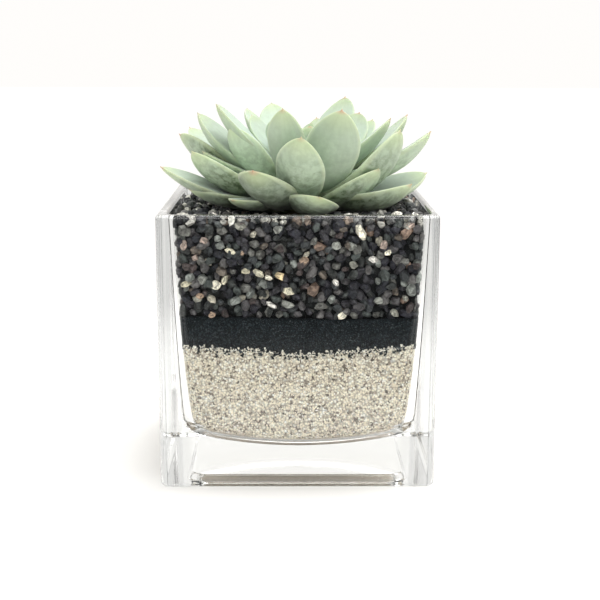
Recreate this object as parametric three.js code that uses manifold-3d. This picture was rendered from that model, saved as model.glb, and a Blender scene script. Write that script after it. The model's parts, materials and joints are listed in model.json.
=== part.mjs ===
// Glass plant terrarium: a square thick-walled glass vase filled in layers with tan sand, black sand and
// dark gravel, with a rosette succulent planted in the gravel. Millimetres, +Z up, front towards -Y, and
// the origin is in the plane that the vase stands on, under its middle.
import * as THREE from 'three';
import { mergeVertices } from 'three/addons/utils/BufferGeometryUtils.js';
import Module from 'manifold-3d';

const wasm = await Module();
wasm.setup();

// Driving dimensions of the vase
const VASE_HALF = 50;
const VASE_HEIGHT = 100;
const VASE_CORNER = 2.5;
const FOOT_ROUND = 1.8;
const RIM_ROUND = 1.3;
const ROUND_SIDES = 3;
const FOOT_CORNER = 1.2;
const CORNER_STEPS = 4;

// Shallow square recess in the underside, so that the vase stands on a flat rim
const RECESS_HALF = 41;
const RECESS_CORNER = 9;
const RECESS_DEPTH = 2.8;
const RECESS_SLOPE = 2;
const RECESS_STEPS = 2;

// The cavity stands a little to the right. It narrows downwards, its corners get rounder, and its floor
// is a shallow dish
const MOUTH_HALF = 46.4;
const CAVITY_SHIFT = 0.6;
const CAVITY_TAPER = 3.5;
const MOUTH_CORNER = 4;
const FLOOR_CORNER = 12;
const FLOOR_Z = 9.2;
const DISH_BEND = 0.003;
const DISH_RINGS = 3;
const EDGE_Z = 14;
const FLOOR_ROUND = 4.5;
const ROUND_STEPS = 2;
const LEAST_CORNER = 3;
const WALL_STEPS = 6;

// Layers of the filling
const GAP = 0.3;
const TAN_TOP = 49.4;
const TAN_CORNER_RISE = 2.7;
const BLACK_TOP = 61.4;
const BLACK_CORNER_RISE = 1.4;
const CORNER_SPAN = 43;
const CORNER_POWER = 1.5;
const TAN_WAVES = [0.35, 0.25];
const BLACK_WAVES = [0.3, 0.25];
const GRAVEL_TOP = 98.2;
const GRAVEL_DIP = 3.6;
const GRAVEL_DIP_RADIUS = 26;
const CORE_TOP = 93;
const CORE_INSET = 5.6;
const SHEET_STEPS = 8;

// Gravel stones, larger than life so that they stay few
const STONE_SIZE = 12.8;
const STONE_PITCH = 12.2;
const STONE_SINK = 0.36;
const WALL_LEAN = 0.04;
const WALL_INSET = 0.53;
const WALL_ROWS = 3;
const LOWEST_ROW = 4.5;
const STONE_JITTER = 0.24;
const STONE_SPREAD = [0.84, 1.08];
const STONE_SEED = 41;

// Root ball and stem of the plant
const ROOT_BALL_TOP = 88;
const ROOT_BALL_RADIUS = 20;
const ROOT_BALL_FOOT = 16;
const ROOT_BALL_SIDES = 16;
const ROOT_BALL_LIFT = 1.1;
const ROOT_BALL_SHARE = 0.9;
const STEM_SIDES = 14;
const STEM_TIP = 70;
const CROWN_RADIUS = 6.6;
const NECK_RADIUS = 4.1;
const AXIS_RADIUS = 7.2;
const AXIS_NARROWING = 2.6;
const AXIS_INSET = 0.6;
const AXIS_STEP = 14;

// Rosette: leaves follow each other up the stem by the golden angle
const GOLDEN_ANGLE = 137.508;
const FIRST_AZIMUTH = 288;
const FIRST_LEAF_Z = 96.8;
const LEAF_STEP = 0.43;
const LEAF_POSITIONS = 42;
const LEAF_STATIONS = [0, 0.2, 0.46, 0.73, 0.92, 1];
const LEAF_SIDES = 6;
const ROOT_SINK = 1.5;
const ROOT_SHARE = 0.46;
const WIDEST_AT = 0.65;
const TIP_ROUNDNESS = 0.62;
const TIP_HALF = 0.25;
const TIP_THICKNESS = 0.6;
const ROOT_THICKNESS = 0.42;
const THICKEST_AT = 0.4;
const TIP_THINNING = 0.62;
const UPPER_SHARE = 0.3;
const LEAF_CUP = 0.14;

// One row a leaf, oldest and lowest first: place in the spiral, degrees that it leans from that place,
// rise of its chord, length, width, degrees that it curls up, roll, thickness, and lift of its root.
// Places 10 and 15 are bare, where old leaves have dropped.
const LEAVES = [
  [0, 3, 10, 37, 19.5, 10, -1, 5.0, 2],
  [1, 0, 12, 40, 20.5, 18, 0, 5.0, 0],
  [2, -3, 9, 39, 19, 24, 14, 4.6, 2],
  [3, 0, 13, 38, 20.5, 18, 0, 5.0, 0],
  [4, -2, 15, 46, 24, 24, -12, 5.6, -1.2],
  [5, 5, 3, 35, 15, 16, 1, 4.2, 2.8],
  [6, 0, 14, 40, 21.5, 18, 0, 5.0, 0],
  [7, 3, 26, 37, 21.5, 31, -2, 4.8, -2.2],
  [8, 17, 21, 49.64, 23, 10, 6, 4.6, -5],
  [9, 0, 16, 42, 20.5, 18, 0, 5.0, 0],
  [11, 0, 19, 42, 21.5, 18, 0, 5.0, 0],
  [12, -10, 4, 41, 29, 53, 6, 6.4, 2.8],
  [13, -3, 24, 42, 23, 46, -7, 4.8, 0.4],
  [14, 0, 21, 42, 21.5, 18, 0, 5.0, 0],
  [16, 5, 30, 49, 29, 17, -28, 4.6, -5],
  [17, -6, 36, 48, 21.5, 28, 8, 5.4, -1.2],
  [18, 8, 20, 45, 21, 18, 5, 7.4, -5],
  [19, 0, 25, 41, 20.5, 18, 0, 5.0, 0],
  [20, 2, 35, 48, 23, 58, 0, 7.2, -4.4],
  [21, 0, 22, 33, 18.5, 18, 0, 4.6, 0],
  [22, -7, 30, 45, 16.5, 19, 3, 5.2, -0.8],
  [23, -4, 30, 51, 18.5, 46, 18, 5.6, -4.8],
  [24, 9, 22, 50, 21, 20, 1, 5.4, -0.8],
  [25, -2, 21, 50, 24, 47, 5, 6.2, 0.6],
  [26, -9, 46, 35, 16, 22, -15, 5.4, -5],
  [27, -6, 28, 46, 14, 33, 22, 5.2, -1.8],
  [28, -14, 43, 48, 20, 57, 32, 6.2, -5],
  [29, 8, 38, 42, 23, 25, 9, 5.6, -3],
  [30, 7, 40, 36, 23.5, 25, -4, 5.4, -1.6],
  [31, 7, 39, 46, 14, 36, 1, 5.4, -2.8],
  [32, 2, 32, 42, 14, 9, -25, 5.0, -0.8],
  [33, 2, 35, 39, 22.5, 27, -6, 4.8, -2.4],
  [34, -1, 43, 38, 24, 8, 17, 4.6, -1.6],
  [35, -4, 36, 46, 19.5, 34, 14, 5.4, -1.8],
  [36, 0, 55, 19, 12, 24, 0, 4.4, 0],
  [37, 0, 48, 24, 14, 24, 0, 4.4, 0],
  [38, 0, 48, 24, 14, 24, 0, 4.4, 0],
  [39, 0, 56, 20, 12, 24, 0, 4.2, 0],
  [40, 6, 28, 45, 15.5, 23, 4, 5.2, -1],
  [41, 0, 60, 18, 11, 24, 0, 4.0, 0],
];

// Heart: young leaves still folded together at the tip of the stem
const HEART_LEAVES = 8;
const HEART_STATIONS = [0, 0.4, 0.8, 1];
const HEART_SIDES = 6;
const HEART_BASE_Z = 115.2;
const HEART_TOP_Z = 121;
const HEART_RADIUS = 3.9;
const HEART_WAIST = 0.7;
const HEART_LENGTHS = [14, 7];
const HEART_WIDTHS = [9, 4.5];
const HEART_RISES = [60, 82];
const HEART_THICKNESS = 2.6;
const HEART_CURL = 26;

// Colours
const GLASS = 0xe9efee;
const TAN_SAND = 0xb9ab8c;
const BLACK_SAND = 0x2e3033;
const GRAVEL = 0x55534e;
const SOIL = 0x2b241e;
const STEM = 0x7d7a55;
const OLD_LEAF = 0x8fa070;
const YOUNG_LEAF = 0xb4c6ab;

const rad = THREE.MathUtils.degToRad;
const lerp = THREE.MathUtils.lerp;

function seededRandom(seed) {
  let state = seed;
  return () => {
    state = (state + 0x6d2b79f5) | 0;
    let mixed = Math.imul(state ^ (state >>> 15), 1 | state);
    mixed = (mixed + Math.imul(mixed ^ (mixed >>> 7), 61 | mixed)) ^ mixed;
    return ((mixed ^ (mixed >>> 14)) >>> 0) / 4294967296;
  };
}

// Solids and geometries
function toSolid(geometry) {
  geometry.deleteAttribute('normal');
  geometry.deleteAttribute('uv');
  const merged = mergeVertices(geometry, 1e-5);
  const mesh = new wasm.Mesh({
    numProp: 3,
    vertProperties: new Float32Array(merged.attributes.position.array),
    triVerts: new Uint32Array(merged.index.array),
  });
  return new wasm.Manifold(mesh);
}

function toGeometry(solid) {
  const mesh = solid.getMesh();
  const geometry = new THREE.BufferGeometry();
  geometry.setAttribute('position', new THREE.BufferAttribute(new Float32Array(mesh.vertProperties), 3));
  geometry.setIndex(new THREE.BufferAttribute(new Uint32Array(mesh.triVerts), 1));
  geometry.computeVertexNormals();
  return geometry;
}

function largestBody(solid) {
  const bodies = solid.decompose();
  return bodies.reduce((best, body) => (body.volume() > best.volume() ? body : best));
}

// Joins many solids in pairs, so that each join stays small
function joinAll(solids) {
  let level = solids;
  while (level.length > 1) {
    const next = [];
    for (let i = 0; i < level.length; i += 2) {
      next.push(i + 1 < level.length ? level[i].add(level[i + 1]) : level[i]);
    }
    level = next;
  }
  return level[0];
}

// Closed skin over a row of rings with equal numbers of points, capped from the middle of both ends
function skin(rings) {
  const points = [];
  const faces = [];
  const sides = rings[0].length;
  const middle = (ring) => ring.reduce((sum, p) => sum.add(p), new THREE.Vector3()).divideScalar(sides);
  rings.forEach((ring) => points.push(...ring));
  points.push(middle(rings[0]), middle(rings[rings.length - 1]));
  const first = rings.length * sides;
  const last = first + 1;
  for (let i = 0; i < rings.length - 1; i += 1) {
    for (let j = 0; j < sides; j += 1) {
      const a = i * sides + j;
      const b = i * sides + ((j + 1) % sides);
      faces.push(a, b, b + sides, a, b + sides, a + sides);
    }
  }
  for (let j = 0; j < sides; j += 1) {
    const next = (j + 1) % sides;
    const top = (rings.length - 1) * sides;
    faces.push(first, next, j, last, top + j, top + next);
  }
  const geometry = new THREE.BufferGeometry().setFromPoints(points);
  geometry.setIndex(faces);
  return geometry;
}

// Places round a square with round corners: the corner each belongs to, and its way out from there
const RING_PLACES = [];
for (let quarter = 0; quarter < 4; quarter += 1) {
  for (let step = 0; step <= CORNER_STEPS; step += 1) {
    const turn = ((quarter + step / CORNER_STEPS) * Math.PI) / 2;
    const sideX = quarter === 0 || quarter === 3 ? 1 : -1;
    const sideY = quarter < 2 ? 1 : -1;
    RING_PLACES.push({ sideX, sideY, wayX: Math.cos(turn), wayY: Math.sin(turn) });
  }
}

function ringPoint(place, half, corner, z) {
  const x = place.sideX * (half - corner) + corner * place.wayX;
  const y = place.sideY * (half - corner) + corner * place.wayY;
  return new THREE.Vector3(x, y, z);
}

function squareRing(half, corner, z) {
  return RING_PLACES.map((place) => ringPoint(place, half, corner, z));
}

// Ring that lies on the dished floor, or at a height above it
function dishRing(half, corner, lift) {
  const ring = squareRing(half, Math.min(half, Math.max(LEAST_CORNER, corner)), 0);
  return ring.map((point) => point.setZ(FLOOR_Z + DISH_BEND * (point.x ** 2 + point.y ** 2) + lift));
}

// Half width and corner radius of the cavity's wall at a height
function wallSize(z) {
  const depth = (VASE_HEIGHT - z) / (VASE_HEIGHT - EDGE_Z);
  return [MOUTH_HALF - CAVITY_TAPER * depth, lerp(MOUTH_CORNER, FLOOR_CORNER, depth ** 3)];
}

function shifted(ring) {
  return ring.map((point) => point.setX(point.x + CAVITY_SHIFT));
}

// Rings from the middle of the dished floor out, over its round edge and up the wall, drawn in by a
// clearance
function cavityRings(clearance) {
  const [half, corner] = wallSize(EDGE_Z + FLOOR_ROUND);
  const rings = [];
  for (let k = 1; k <= DISH_RINGS; k += 1) {
    const reach = (half - FLOOR_ROUND - clearance) * (k / (DISH_RINGS + 1));
    rings.push(dishRing(reach, corner - FLOOR_ROUND / 2, clearance));
  }
  for (let k = 0; k < ROUND_STEPS; k += 1) {
    const angle = ((1 - k / ROUND_STEPS) * Math.PI) / 2;
    const inset = FLOOR_ROUND * (1 - Math.cos(angle));
    const lift = FLOOR_ROUND * (1 - Math.sin(angle)) + clearance;
    rings.push(dishRing(half - inset - clearance, corner - inset / 2, lift));
  }
  const foot = dishRing(half - clearance, corner, FLOOR_ROUND + clearance);
  for (let k = 0; k <= WALL_STEPS; k += 1) {
    rings.push(
      RING_PLACES.map((place, index) => {
        const z = lerp(foot[index].z, VASE_HEIGHT - RIM_ROUND, k / WALL_STEPS);
        const [wallHalf, wallCorner] = wallSize(z);
        return ringPoint(place, wallHalf - clearance, wallCorner, z);
      }),
    );
  }
  return rings.map(shifted);
}

// Quarter turns in equal steps, as the share that draws in and the share that rises
const QUARTER_TURN = [];
for (let step = 0; step <= ROUND_SIDES; step += 1) {
  const turn = (step / ROUND_SIDES) * (Math.PI / 2);
  QUARTER_TURN.push([1 - Math.sin(turn), 1 - Math.cos(turn)]);
}

function makeVase() {
  const rings = [];
  for (let step = 0; step <= RECESS_STEPS; step += 1) {
    const share = step / RECESS_STEPS;
    const inset = RECESS_SLOPE * (1 - share);
    const height = (RECESS_DEPTH * (1 + Math.cos(Math.PI * share))) / 2;
    rings.push(squareRing(RECESS_HALF - inset, RECESS_CORNER - inset, height));
  }
  QUARTER_TURN.forEach(([drawn, risen]) => {
    const corner = lerp(VASE_CORNER, FOOT_CORNER, drawn);
    rings.push(squareRing(VASE_HALF - FOOT_ROUND * drawn, corner, FOOT_ROUND * risen));
  });
  QUARTER_TURN.forEach(([under, drawn]) => {
    rings.push(squareRing(VASE_HALF - RIM_ROUND * drawn, VASE_CORNER, VASE_HEIGHT - RIM_ROUND * under));
  });
  const [mouthHalf, mouthCorner] = wallSize(VASE_HEIGHT - RIM_ROUND);
  QUARTER_TURN.slice(0, -1).forEach(([grown, under]) => {
    const ring = squareRing(mouthHalf + RIM_ROUND * grown, mouthCorner, VASE_HEIGHT - RIM_ROUND * under);
    rings.push(shifted(ring));
  });
  rings.push(...cavityRings(0).reverse());
  return skin(rings);
}

// All of the cavity, drawn in by a clearance
function cavityFill(clearance) {
  return toSolid(skin(cavityRings(clearance)));
}

// Surfaces between the layers: nearly level, with the slight waves of poured sand
function cornerRise(x, y, height) {
  return height * (Math.abs(x * y) / CORNER_SPAN ** 2) ** CORNER_POWER;
}

function tanSurface(x, y) {
  const [long, short] = TAN_WAVES;
  const broad = long * Math.sin(0.085 * x + 0.6) * Math.cos(0.06 * y);
  const fine = short * Math.sin(0.19 * x - 0.11 * y);
  return TAN_TOP + cornerRise(x, y, TAN_CORNER_RISE) + broad + fine;
}

function blackSurface(x, y) {
  const [long, short] = BLACK_WAVES;
  const waves = long * Math.sin(0.07 * x + 2.1) + short * Math.cos(0.12 * y + 0.05 * x);
  return BLACK_TOP + cornerRise(x, y, BLACK_CORNER_RISE) + waves;
}

function level(z) {
  return () => z;
}

// Slab under a waved sheet, wider than the cavity and down past its floor
function slabUnder(surface, shift) {
  const reach = VASE_HALF;
  const points = [];
  const faces = [];
  const row = SHEET_STEPS + 1;
  for (let level = 0; level < 2; level += 1) {
    for (let i = 0; i < row; i += 1) {
      for (let j = 0; j < row; j += 1) {
        const x = lerp(-reach, reach, i / SHEET_STEPS);
        const y = lerp(-reach, reach, j / SHEET_STEPS);
        points.push(new THREE.Vector3(x, y, level ? surface(x, y) + shift : 0));
      }
    }
  }
  const at = (level, i, j) => (level * row + i) * row + j;
  for (let i = 0; i < SHEET_STEPS; i += 1) {
    for (let j = 0; j < SHEET_STEPS; j += 1) {
      const top = [at(1, i, j), at(1, i + 1, j), at(1, i + 1, j + 1), at(1, i, j + 1)];
      const low = [at(0, i, j), at(0, i + 1, j), at(0, i + 1, j + 1), at(0, i, j + 1)];
      faces.push(top[0], top[1], top[2], top[0], top[2], top[3]);
      faces.push(low[2], low[1], low[0], low[3], low[2], low[0]);
    }
    const walls = [
      [at(0, i, 0), at(0, i + 1, 0), at(1, i + 1, 0), at(1, i, 0)],
      [at(0, i + 1, SHEET_STEPS), at(0, i, SHEET_STEPS), at(1, i, SHEET_STEPS), at(1, i + 1, SHEET_STEPS)],
      [at(0, SHEET_STEPS, i), at(0, SHEET_STEPS, i + 1), at(1, SHEET_STEPS, i + 1), at(1, SHEET_STEPS, i)],
      [at(0, 0, i + 1), at(0, 0, i), at(1, 0, i), at(1, 0, i + 1)],
    ];
    walls.forEach(([a, b, c, d]) => faces.push(a, b, c, a, c, d));
  }
  const geometry = new THREE.BufferGeometry().setFromPoints(points);
  geometry.setIndex(faces);
  return toSolid(geometry);
}

// Leaf: a thick pointed blade, wider towards its tip, swept from its root at the stem and curling upwards
function stemRadius(place) {
  return AXIS_RADIUS - AXIS_NARROWING * (place / LEAF_POSITIONS) ** 1.5;
}

function leafWidthAt(u) {
  if (u < WIDEST_AT) {
    return ROOT_SHARE + (1 - ROOT_SHARE) * Math.sin(((Math.PI / 2) * u) / WIDEST_AT) ** 0.8;
  }
  return (1 - ((u - WIDEST_AT) / (1 - WIDEST_AT)) ** 2) ** TIP_ROUNDNESS;
}

function leafThicknessAt(u) {
  if (u < THICKEST_AT) {
    return lerp(ROOT_THICKNESS, 1, Math.sin((Math.PI / 2) * (u / THICKEST_AT)));
  }
  return 1 - TIP_THINNING * ((u - THICKEST_AT) / (1 - THICKEST_AT)) ** 2.2;
}

function leafSkin(shape) {
  const { azimuth, rise, length, width, curl, roll, thickness, rootRadius, rootZ, grow } = shape;
  const { stations = LEAF_STATIONS, sides = LEAF_SIDES } = shape;
  const turn = rad(azimuth);
  const out = new THREE.Vector3(Math.sin(turn), -Math.cos(turn), 0);
  const across = new THREE.Vector3(Math.cos(turn), Math.sin(turn), 0);
  const up = new THREE.Vector3(0, 0, 1);
  const centre = out.clone().multiplyScalar(rootRadius).addScaledVector(up, rootZ);
  const rings = [];
  const pitchAt = (u) => rad(rise + curl * (u - 0.5));
  stations.forEach((u, index) => {
    if (index > 0) {
      const step = (u - stations[index - 1]) * length;
      const pitch = pitchAt((u + stations[index - 1]) / 2);
      centre.addScaledVector(out, step * Math.cos(pitch)).addScaledVector(up, step * Math.sin(pitch));
    }
    const pitch = pitchAt(u);
    const along = out.clone().multiplyScalar(Math.cos(pitch)).addScaledVector(up, Math.sin(pitch));
    const normal = out.clone().multiplyScalar(-Math.sin(pitch)).addScaledVector(up, Math.cos(pitch));
    const side = across.clone().applyAxisAngle(along, rad(-roll));
    normal.applyAxisAngle(along, rad(-roll));
    const share = leafWidthAt(u);
    const half = u < 1 ? (width / 2) * share + grow : TIP_HALF + grow;
    const body = thickness * leafThicknessAt(u) * Math.sqrt(Math.min(1, share + 0.1));
    const thick = u < 1 ? body : TIP_THICKNESS;
    const shift = index === 0 ? -grow : u === 1 ? grow : 0;
    const ring = [];
    for (let k = 0; k < sides; k += 1) {
      const angle = (k / sides) * 2 * Math.PI;
      const sine = Math.sin(angle);
      const face = sine > 0 ? UPPER_SHARE : 1 - UPPER_SHARE;
      const cup = LEAF_CUP * half * (Math.cos(angle) ** 2 - 0.5);
      const point = centre.clone().addScaledVector(along, shift);
      point.addScaledVector(side, half * Math.cos(angle));
      point.addScaledVector(normal, (face * thick + grow) * sine + cup);
      ring.push(point);
    }
    rings.push(ring);
  });
  return skin(rings);
}

function leafShape([place, lean, rise, length, width, curl, roll, thickness, lift]) {
  return {
    azimuth: FIRST_AZIMUTH - GOLDEN_ANGLE * place + lean,
    rise,
    length: length + ROOT_SINK,
    width,
    curl,
    roll,
    thickness,
    rootRadius: stemRadius(place) - ROOT_SINK,
    rootZ: FIRST_LEAF_Z + LEAF_STEP * place + lift,
  };
}

// Stem: a root crown that tapers down into the root ball, and the short stout axis of the rosette
function stemProfile(grow) {
  const points = [
    [0, STEM_TIP - grow],
    [2 + grow, STEM_TIP - grow],
    [NECK_RADIUS + grow, 80],
    [CROWN_RADIUS * 0.86 + grow, 90],
    [CROWN_RADIUS + grow, 95],
  ];
  for (let place = 0; place <= LEAF_POSITIONS; place += AXIS_STEP) {
    points.push([stemRadius(place) - AXIS_INSET + grow, FIRST_LEAF_Z + LEAF_STEP * place]);
  }
  const top = HEART_BASE_Z - GAP + grow;
  points[points.length - 1][1] = top;
  points.push([0, top]);
  const profile = points.map(([r, z]) => new THREE.Vector2(r, z));
  return new THREE.LatheGeometry(profile, STEM_SIDES).rotateX(Math.PI / 2);
}

function makeHeart(grow) {
  const core = new THREE.LatheGeometry(
    [
      new THREE.Vector2(0, HEART_BASE_Z),
      new THREE.Vector2(HEART_RADIUS + grow, HEART_BASE_Z),
      new THREE.Vector2(HEART_RADIUS * HEART_WAIST + grow, (HEART_BASE_Z + HEART_TOP_Z) / 2),
      new THREE.Vector2(0, HEART_TOP_Z + grow),
    ],
    STEM_SIDES,
  ).rotateX(Math.PI / 2);
  const solids = [toSolid(core)];
  for (let i = 0; i < HEART_LEAVES; i += 1) {
    const share = i / (HEART_LEAVES - 1);
    const blade = leafSkin({
      azimuth: FIRST_AZIMUTH - GOLDEN_ANGLE * (LEAF_POSITIONS + i),
      rise: lerp(...HEART_RISES, share),
      length: lerp(...HEART_LENGTHS, share),
      width: lerp(...HEART_WIDTHS, share),
      curl: HEART_CURL,
      roll: 0,
      thickness: HEART_THICKNESS,
      rootRadius: lerp(HEART_RADIUS, 1, share) * 0.55,
      rootZ: lerp(HEART_BASE_Z + 1.6, HEART_TOP_Z - 1.5, share),
      stations: HEART_STATIONS,
      sides: HEART_SIDES,
      grow,
    });
    solids.push(toSolid(blade));
  }
  return largestBody(joinAll(solids));
}

function rootBallSkin(grow) {
  const base = BLACK_TOP + ROOT_BALL_LIFT - grow;
  const points = [
    [0, base],
    [ROOT_BALL_FOOT + grow, base],
    [lerp(ROOT_BALL_FOOT, ROOT_BALL_RADIUS, ROOT_BALL_SHARE) + grow, ROOT_BALL_TOP - 5],
    [ROOT_BALL_RADIUS + grow, ROOT_BALL_TOP - 1.5],
    [ROOT_BALL_RADIUS * ROOT_BALL_SHARE + grow, ROOT_BALL_TOP + grow],
    [0, ROOT_BALL_TOP + 0.8 + grow],
  ];
  const profile = points.map(([r, z]) => new THREE.Vector2(r, z));
  return new THREE.LatheGeometry(profile, ROOT_BALL_SIDES).rotateX(Math.PI / 2);
}

// Gravel: a core with stones fused in all over its top and its four sides
function gravelTop(x, y) {
  return GRAVEL_TOP - GRAVEL_DIP * Math.exp(-((x * x + y * y) / GRAVEL_DIP_RADIUS ** 2));
}

function stone(centre, size, random) {
  const geometry = new THREE.IcosahedronGeometry(size / 2, 0);
  geometry.scale(1, lerp(0.72, 1, random()), lerp(0.6, 0.85, random()));
  geometry.rotateX(lerp(-0.5, 0.5, random()));
  geometry.rotateY(lerp(-0.5, 0.5, random()));
  geometry.rotateZ(2 * Math.PI * random());
  geometry.translate(centre.x, centre.y, centre.z);
  return toSolid(geometry);
}

function makeGravel(cutters) {
  const random = seededRandom(STONE_SEED);
  const stones = [];
  const jitter = () => (random() - 0.5) * STONE_SIZE * STONE_JITTER;
  const size = () => STONE_SIZE * lerp(...STONE_SPREAD, random());
  const rows = Math.floor((2 * MOUTH_HALF) / STONE_PITCH);
  const start = -((rows - 0.5) * STONE_PITCH) / 2;
  const up = new THREE.Vector3(0, 0, 1);
  for (let i = 0; i < rows; i += 1) {
    for (let j = 0; j < rows; j += 1) {
      const x = start + (i + 0.5 * (j % 2)) * STONE_PITCH + jitter();
      const y = start + (j + 0.25) * STONE_PITCH + jitter();
      const z = gravelTop(x, y) - STONE_SIZE * STONE_SINK;
      stones.push(stone(new THREE.Vector3(x, y, z), size(), random));
    }
  }
  const wall = MOUTH_HALF - STONE_SIZE * WALL_INSET;
  for (let side = 0; side < 4; side += 1) {
    for (let row = 0; row < WALL_ROWS; row += 1) {
      for (let i = 0; i < rows; i += 1) {
        const along = start + (i + 0.5 * (row % 2)) * STONE_PITCH + jitter();
        const z = BLACK_TOP + LOWEST_ROW + row * STONE_PITCH + jitter();
        const place = new THREE.Vector3(along, -wall - WALL_LEAN * (z - VASE_HEIGHT), z);
        place.applyAxisAngle(up, (side * Math.PI) / 2).setX(place.x + CAVITY_SHIFT);
        stones.push(stone(place, size(), random));
      }
    }
  }
  const core = cavityFill(CORE_INSET).intersect(slabUnder(level(CORE_TOP), 0));
  const limits = cavityFill(GAP).subtract(slabUnder(blackSurface, GAP));
  let gravel = joinAll([core, ...stones]).intersect(limits);
  gravel = gravel.subtract(toSolid(rootBallSkin(GAP))).subtract(toSolid(stemProfile(GAP)));
  cutters.forEach((cutter) => {
    gravel = gravel.subtract(cutter);
  });
  return largestBody(gravel);
}

// Each leaf keeps clear of the stem, the heart and the older leaves below it
function makeLeaves(stemCutter, heartCutter) {
  const made = [];
  const older = [];
  LEAVES.forEach((row) => {
    const shape = leafShape(row);
    let leaf = toSolid(leafSkin({ ...shape, grow: 0 })).subtract(stemCutter).subtract(heartCutter);
    older.forEach((cutter) => {
      leaf = leaf.subtract(cutter);
    });
    made.push(largestBody(leaf));
    older.push(toSolid(leafSkin({ ...shape, grow: GAP })));
  });
  return { made, cutters: older };
}

function addPiece(name, geometry, colour, roughness, metalness = 0, opacity = 1) {
  const material = new THREE.MeshStandardMaterial({ color: colour, roughness, metalness });
  material.opacity = opacity;
  material.transparent = opacity < 1;
  const mesh = new THREE.Mesh(geometry, material);
  mesh.name = name;
  terrarium.add(mesh);
}

const terrarium = new THREE.Group();

const stemCutter = toSolid(stemProfile(GAP));
const heartCutter = makeHeart(GAP);
const leaves = makeLeaves(stemCutter, heartCutter);

const tanSand = cavityFill(GAP).intersect(slabUnder(tanSurface, 0));
const blackSand = cavityFill(GAP)
  .subtract(slabUnder(tanSurface, GAP))
  .intersect(slabUnder(blackSurface, 0));
const rootBall = toSolid(rootBallSkin(0)).subtract(stemCutter);

addPiece('glass_vase', makeVase(), GLASS, 0.05, 0, 0.35);
addPiece('tan_sand', toGeometry(largestBody(tanSand)), TAN_SAND, 0.95);
addPiece('black_sand', toGeometry(largestBody(blackSand)), BLACK_SAND, 0.9);
addPiece('gravel', toGeometry(makeGravel(leaves.cutters)), GRAVEL, 0.85);
addPiece('root_ball', toGeometry(largestBody(rootBall)), SOIL, 1);
addPiece('stem', toGeometry(toSolid(stemProfile(0))), STEM, 0.8);
addPiece('heart', toGeometry(makeHeart(0)), YOUNG_LEAF, 0.6);
leaves.made.forEach((leaf, index) => {
  const colour = new THREE.Color(OLD_LEAF).lerp(new THREE.Color(YOUNG_LEAF), index / (LEAVES.length - 1));
  addPiece(`leaf_${String(index + 1).padStart(2, '0')}`, toGeometry(leaf), colour, 0.6);
});

export default terrarium;
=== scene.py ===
import json
import math
import random

import bmesh
import bpy
import numpy as np
from bpy.props import FloatProperty, FloatVectorProperty, IntProperty, PointerProperty
from mathutils import Matrix, Vector, noise

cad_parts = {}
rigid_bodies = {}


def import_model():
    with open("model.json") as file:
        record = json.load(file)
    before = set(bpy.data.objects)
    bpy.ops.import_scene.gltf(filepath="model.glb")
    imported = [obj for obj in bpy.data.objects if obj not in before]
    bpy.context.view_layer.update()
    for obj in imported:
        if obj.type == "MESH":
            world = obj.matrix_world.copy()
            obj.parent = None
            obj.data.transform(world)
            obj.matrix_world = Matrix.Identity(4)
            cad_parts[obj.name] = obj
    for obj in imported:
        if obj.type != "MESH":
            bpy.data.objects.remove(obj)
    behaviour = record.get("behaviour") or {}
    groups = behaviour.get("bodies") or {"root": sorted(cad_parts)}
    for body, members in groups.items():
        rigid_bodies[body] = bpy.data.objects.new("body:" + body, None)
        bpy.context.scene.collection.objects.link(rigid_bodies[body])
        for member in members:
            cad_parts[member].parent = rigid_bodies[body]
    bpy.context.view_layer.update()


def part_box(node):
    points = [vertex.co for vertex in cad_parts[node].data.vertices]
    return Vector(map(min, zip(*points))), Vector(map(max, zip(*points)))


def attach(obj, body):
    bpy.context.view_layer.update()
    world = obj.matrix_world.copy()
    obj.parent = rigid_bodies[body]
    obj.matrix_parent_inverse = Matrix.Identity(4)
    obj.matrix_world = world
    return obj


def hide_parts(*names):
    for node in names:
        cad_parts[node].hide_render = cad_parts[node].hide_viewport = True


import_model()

bl_info = {
    "name": "Glass Plant Terrarium",
    "version": (1, 0, 0),
    "blender": (4, 5, 0),
    "location": "View3D > Sidebar > Terrarium",
    "description": "Builds a layered glass terrarium with a rosette succulent around a packed frame",
    "category": "Object",
}

# Lengths below are in millimetres, and a mesh is scaled to metres when it is made
MM = 0.001

# Camera, in the object's own frame, with its turns in radians
CAMERA_PLACE = (-3.466, -486.72, 159.64)
CAMERA_YAW = 0.00974
CAMERA_PITCH = 0.20254
CAMERA_ROLL = 0.00231
FOCAL_PIXELS = 1260.2
PICTURE_PIXELS = 600
SENSOR_WIDTH = 36

# Room and lamps: parts of a direction between which the room changes, and lamps in metres, each with
# its place, its width and its share of the key power
ROOM_DEPTH = (-0.9, 0.5)
ROOM_SIDES = (0.25, 0.95)
ROOM_HEIGHT = (-0.1, 0.9, 0.95, 1.07)
SOFTBOXES = (
    ("softbox_above", (0.3, 0.1, 1.3), 1.1, 1.0),
    ("softbox_front", (0.05, -1.15, 0.75), 0.8, 0.3),
)
LAMP_AIM = (0, 0, 0.09)
FLOOR_DROP = -0.12
GLASS_BOUNCES = 24

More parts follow.
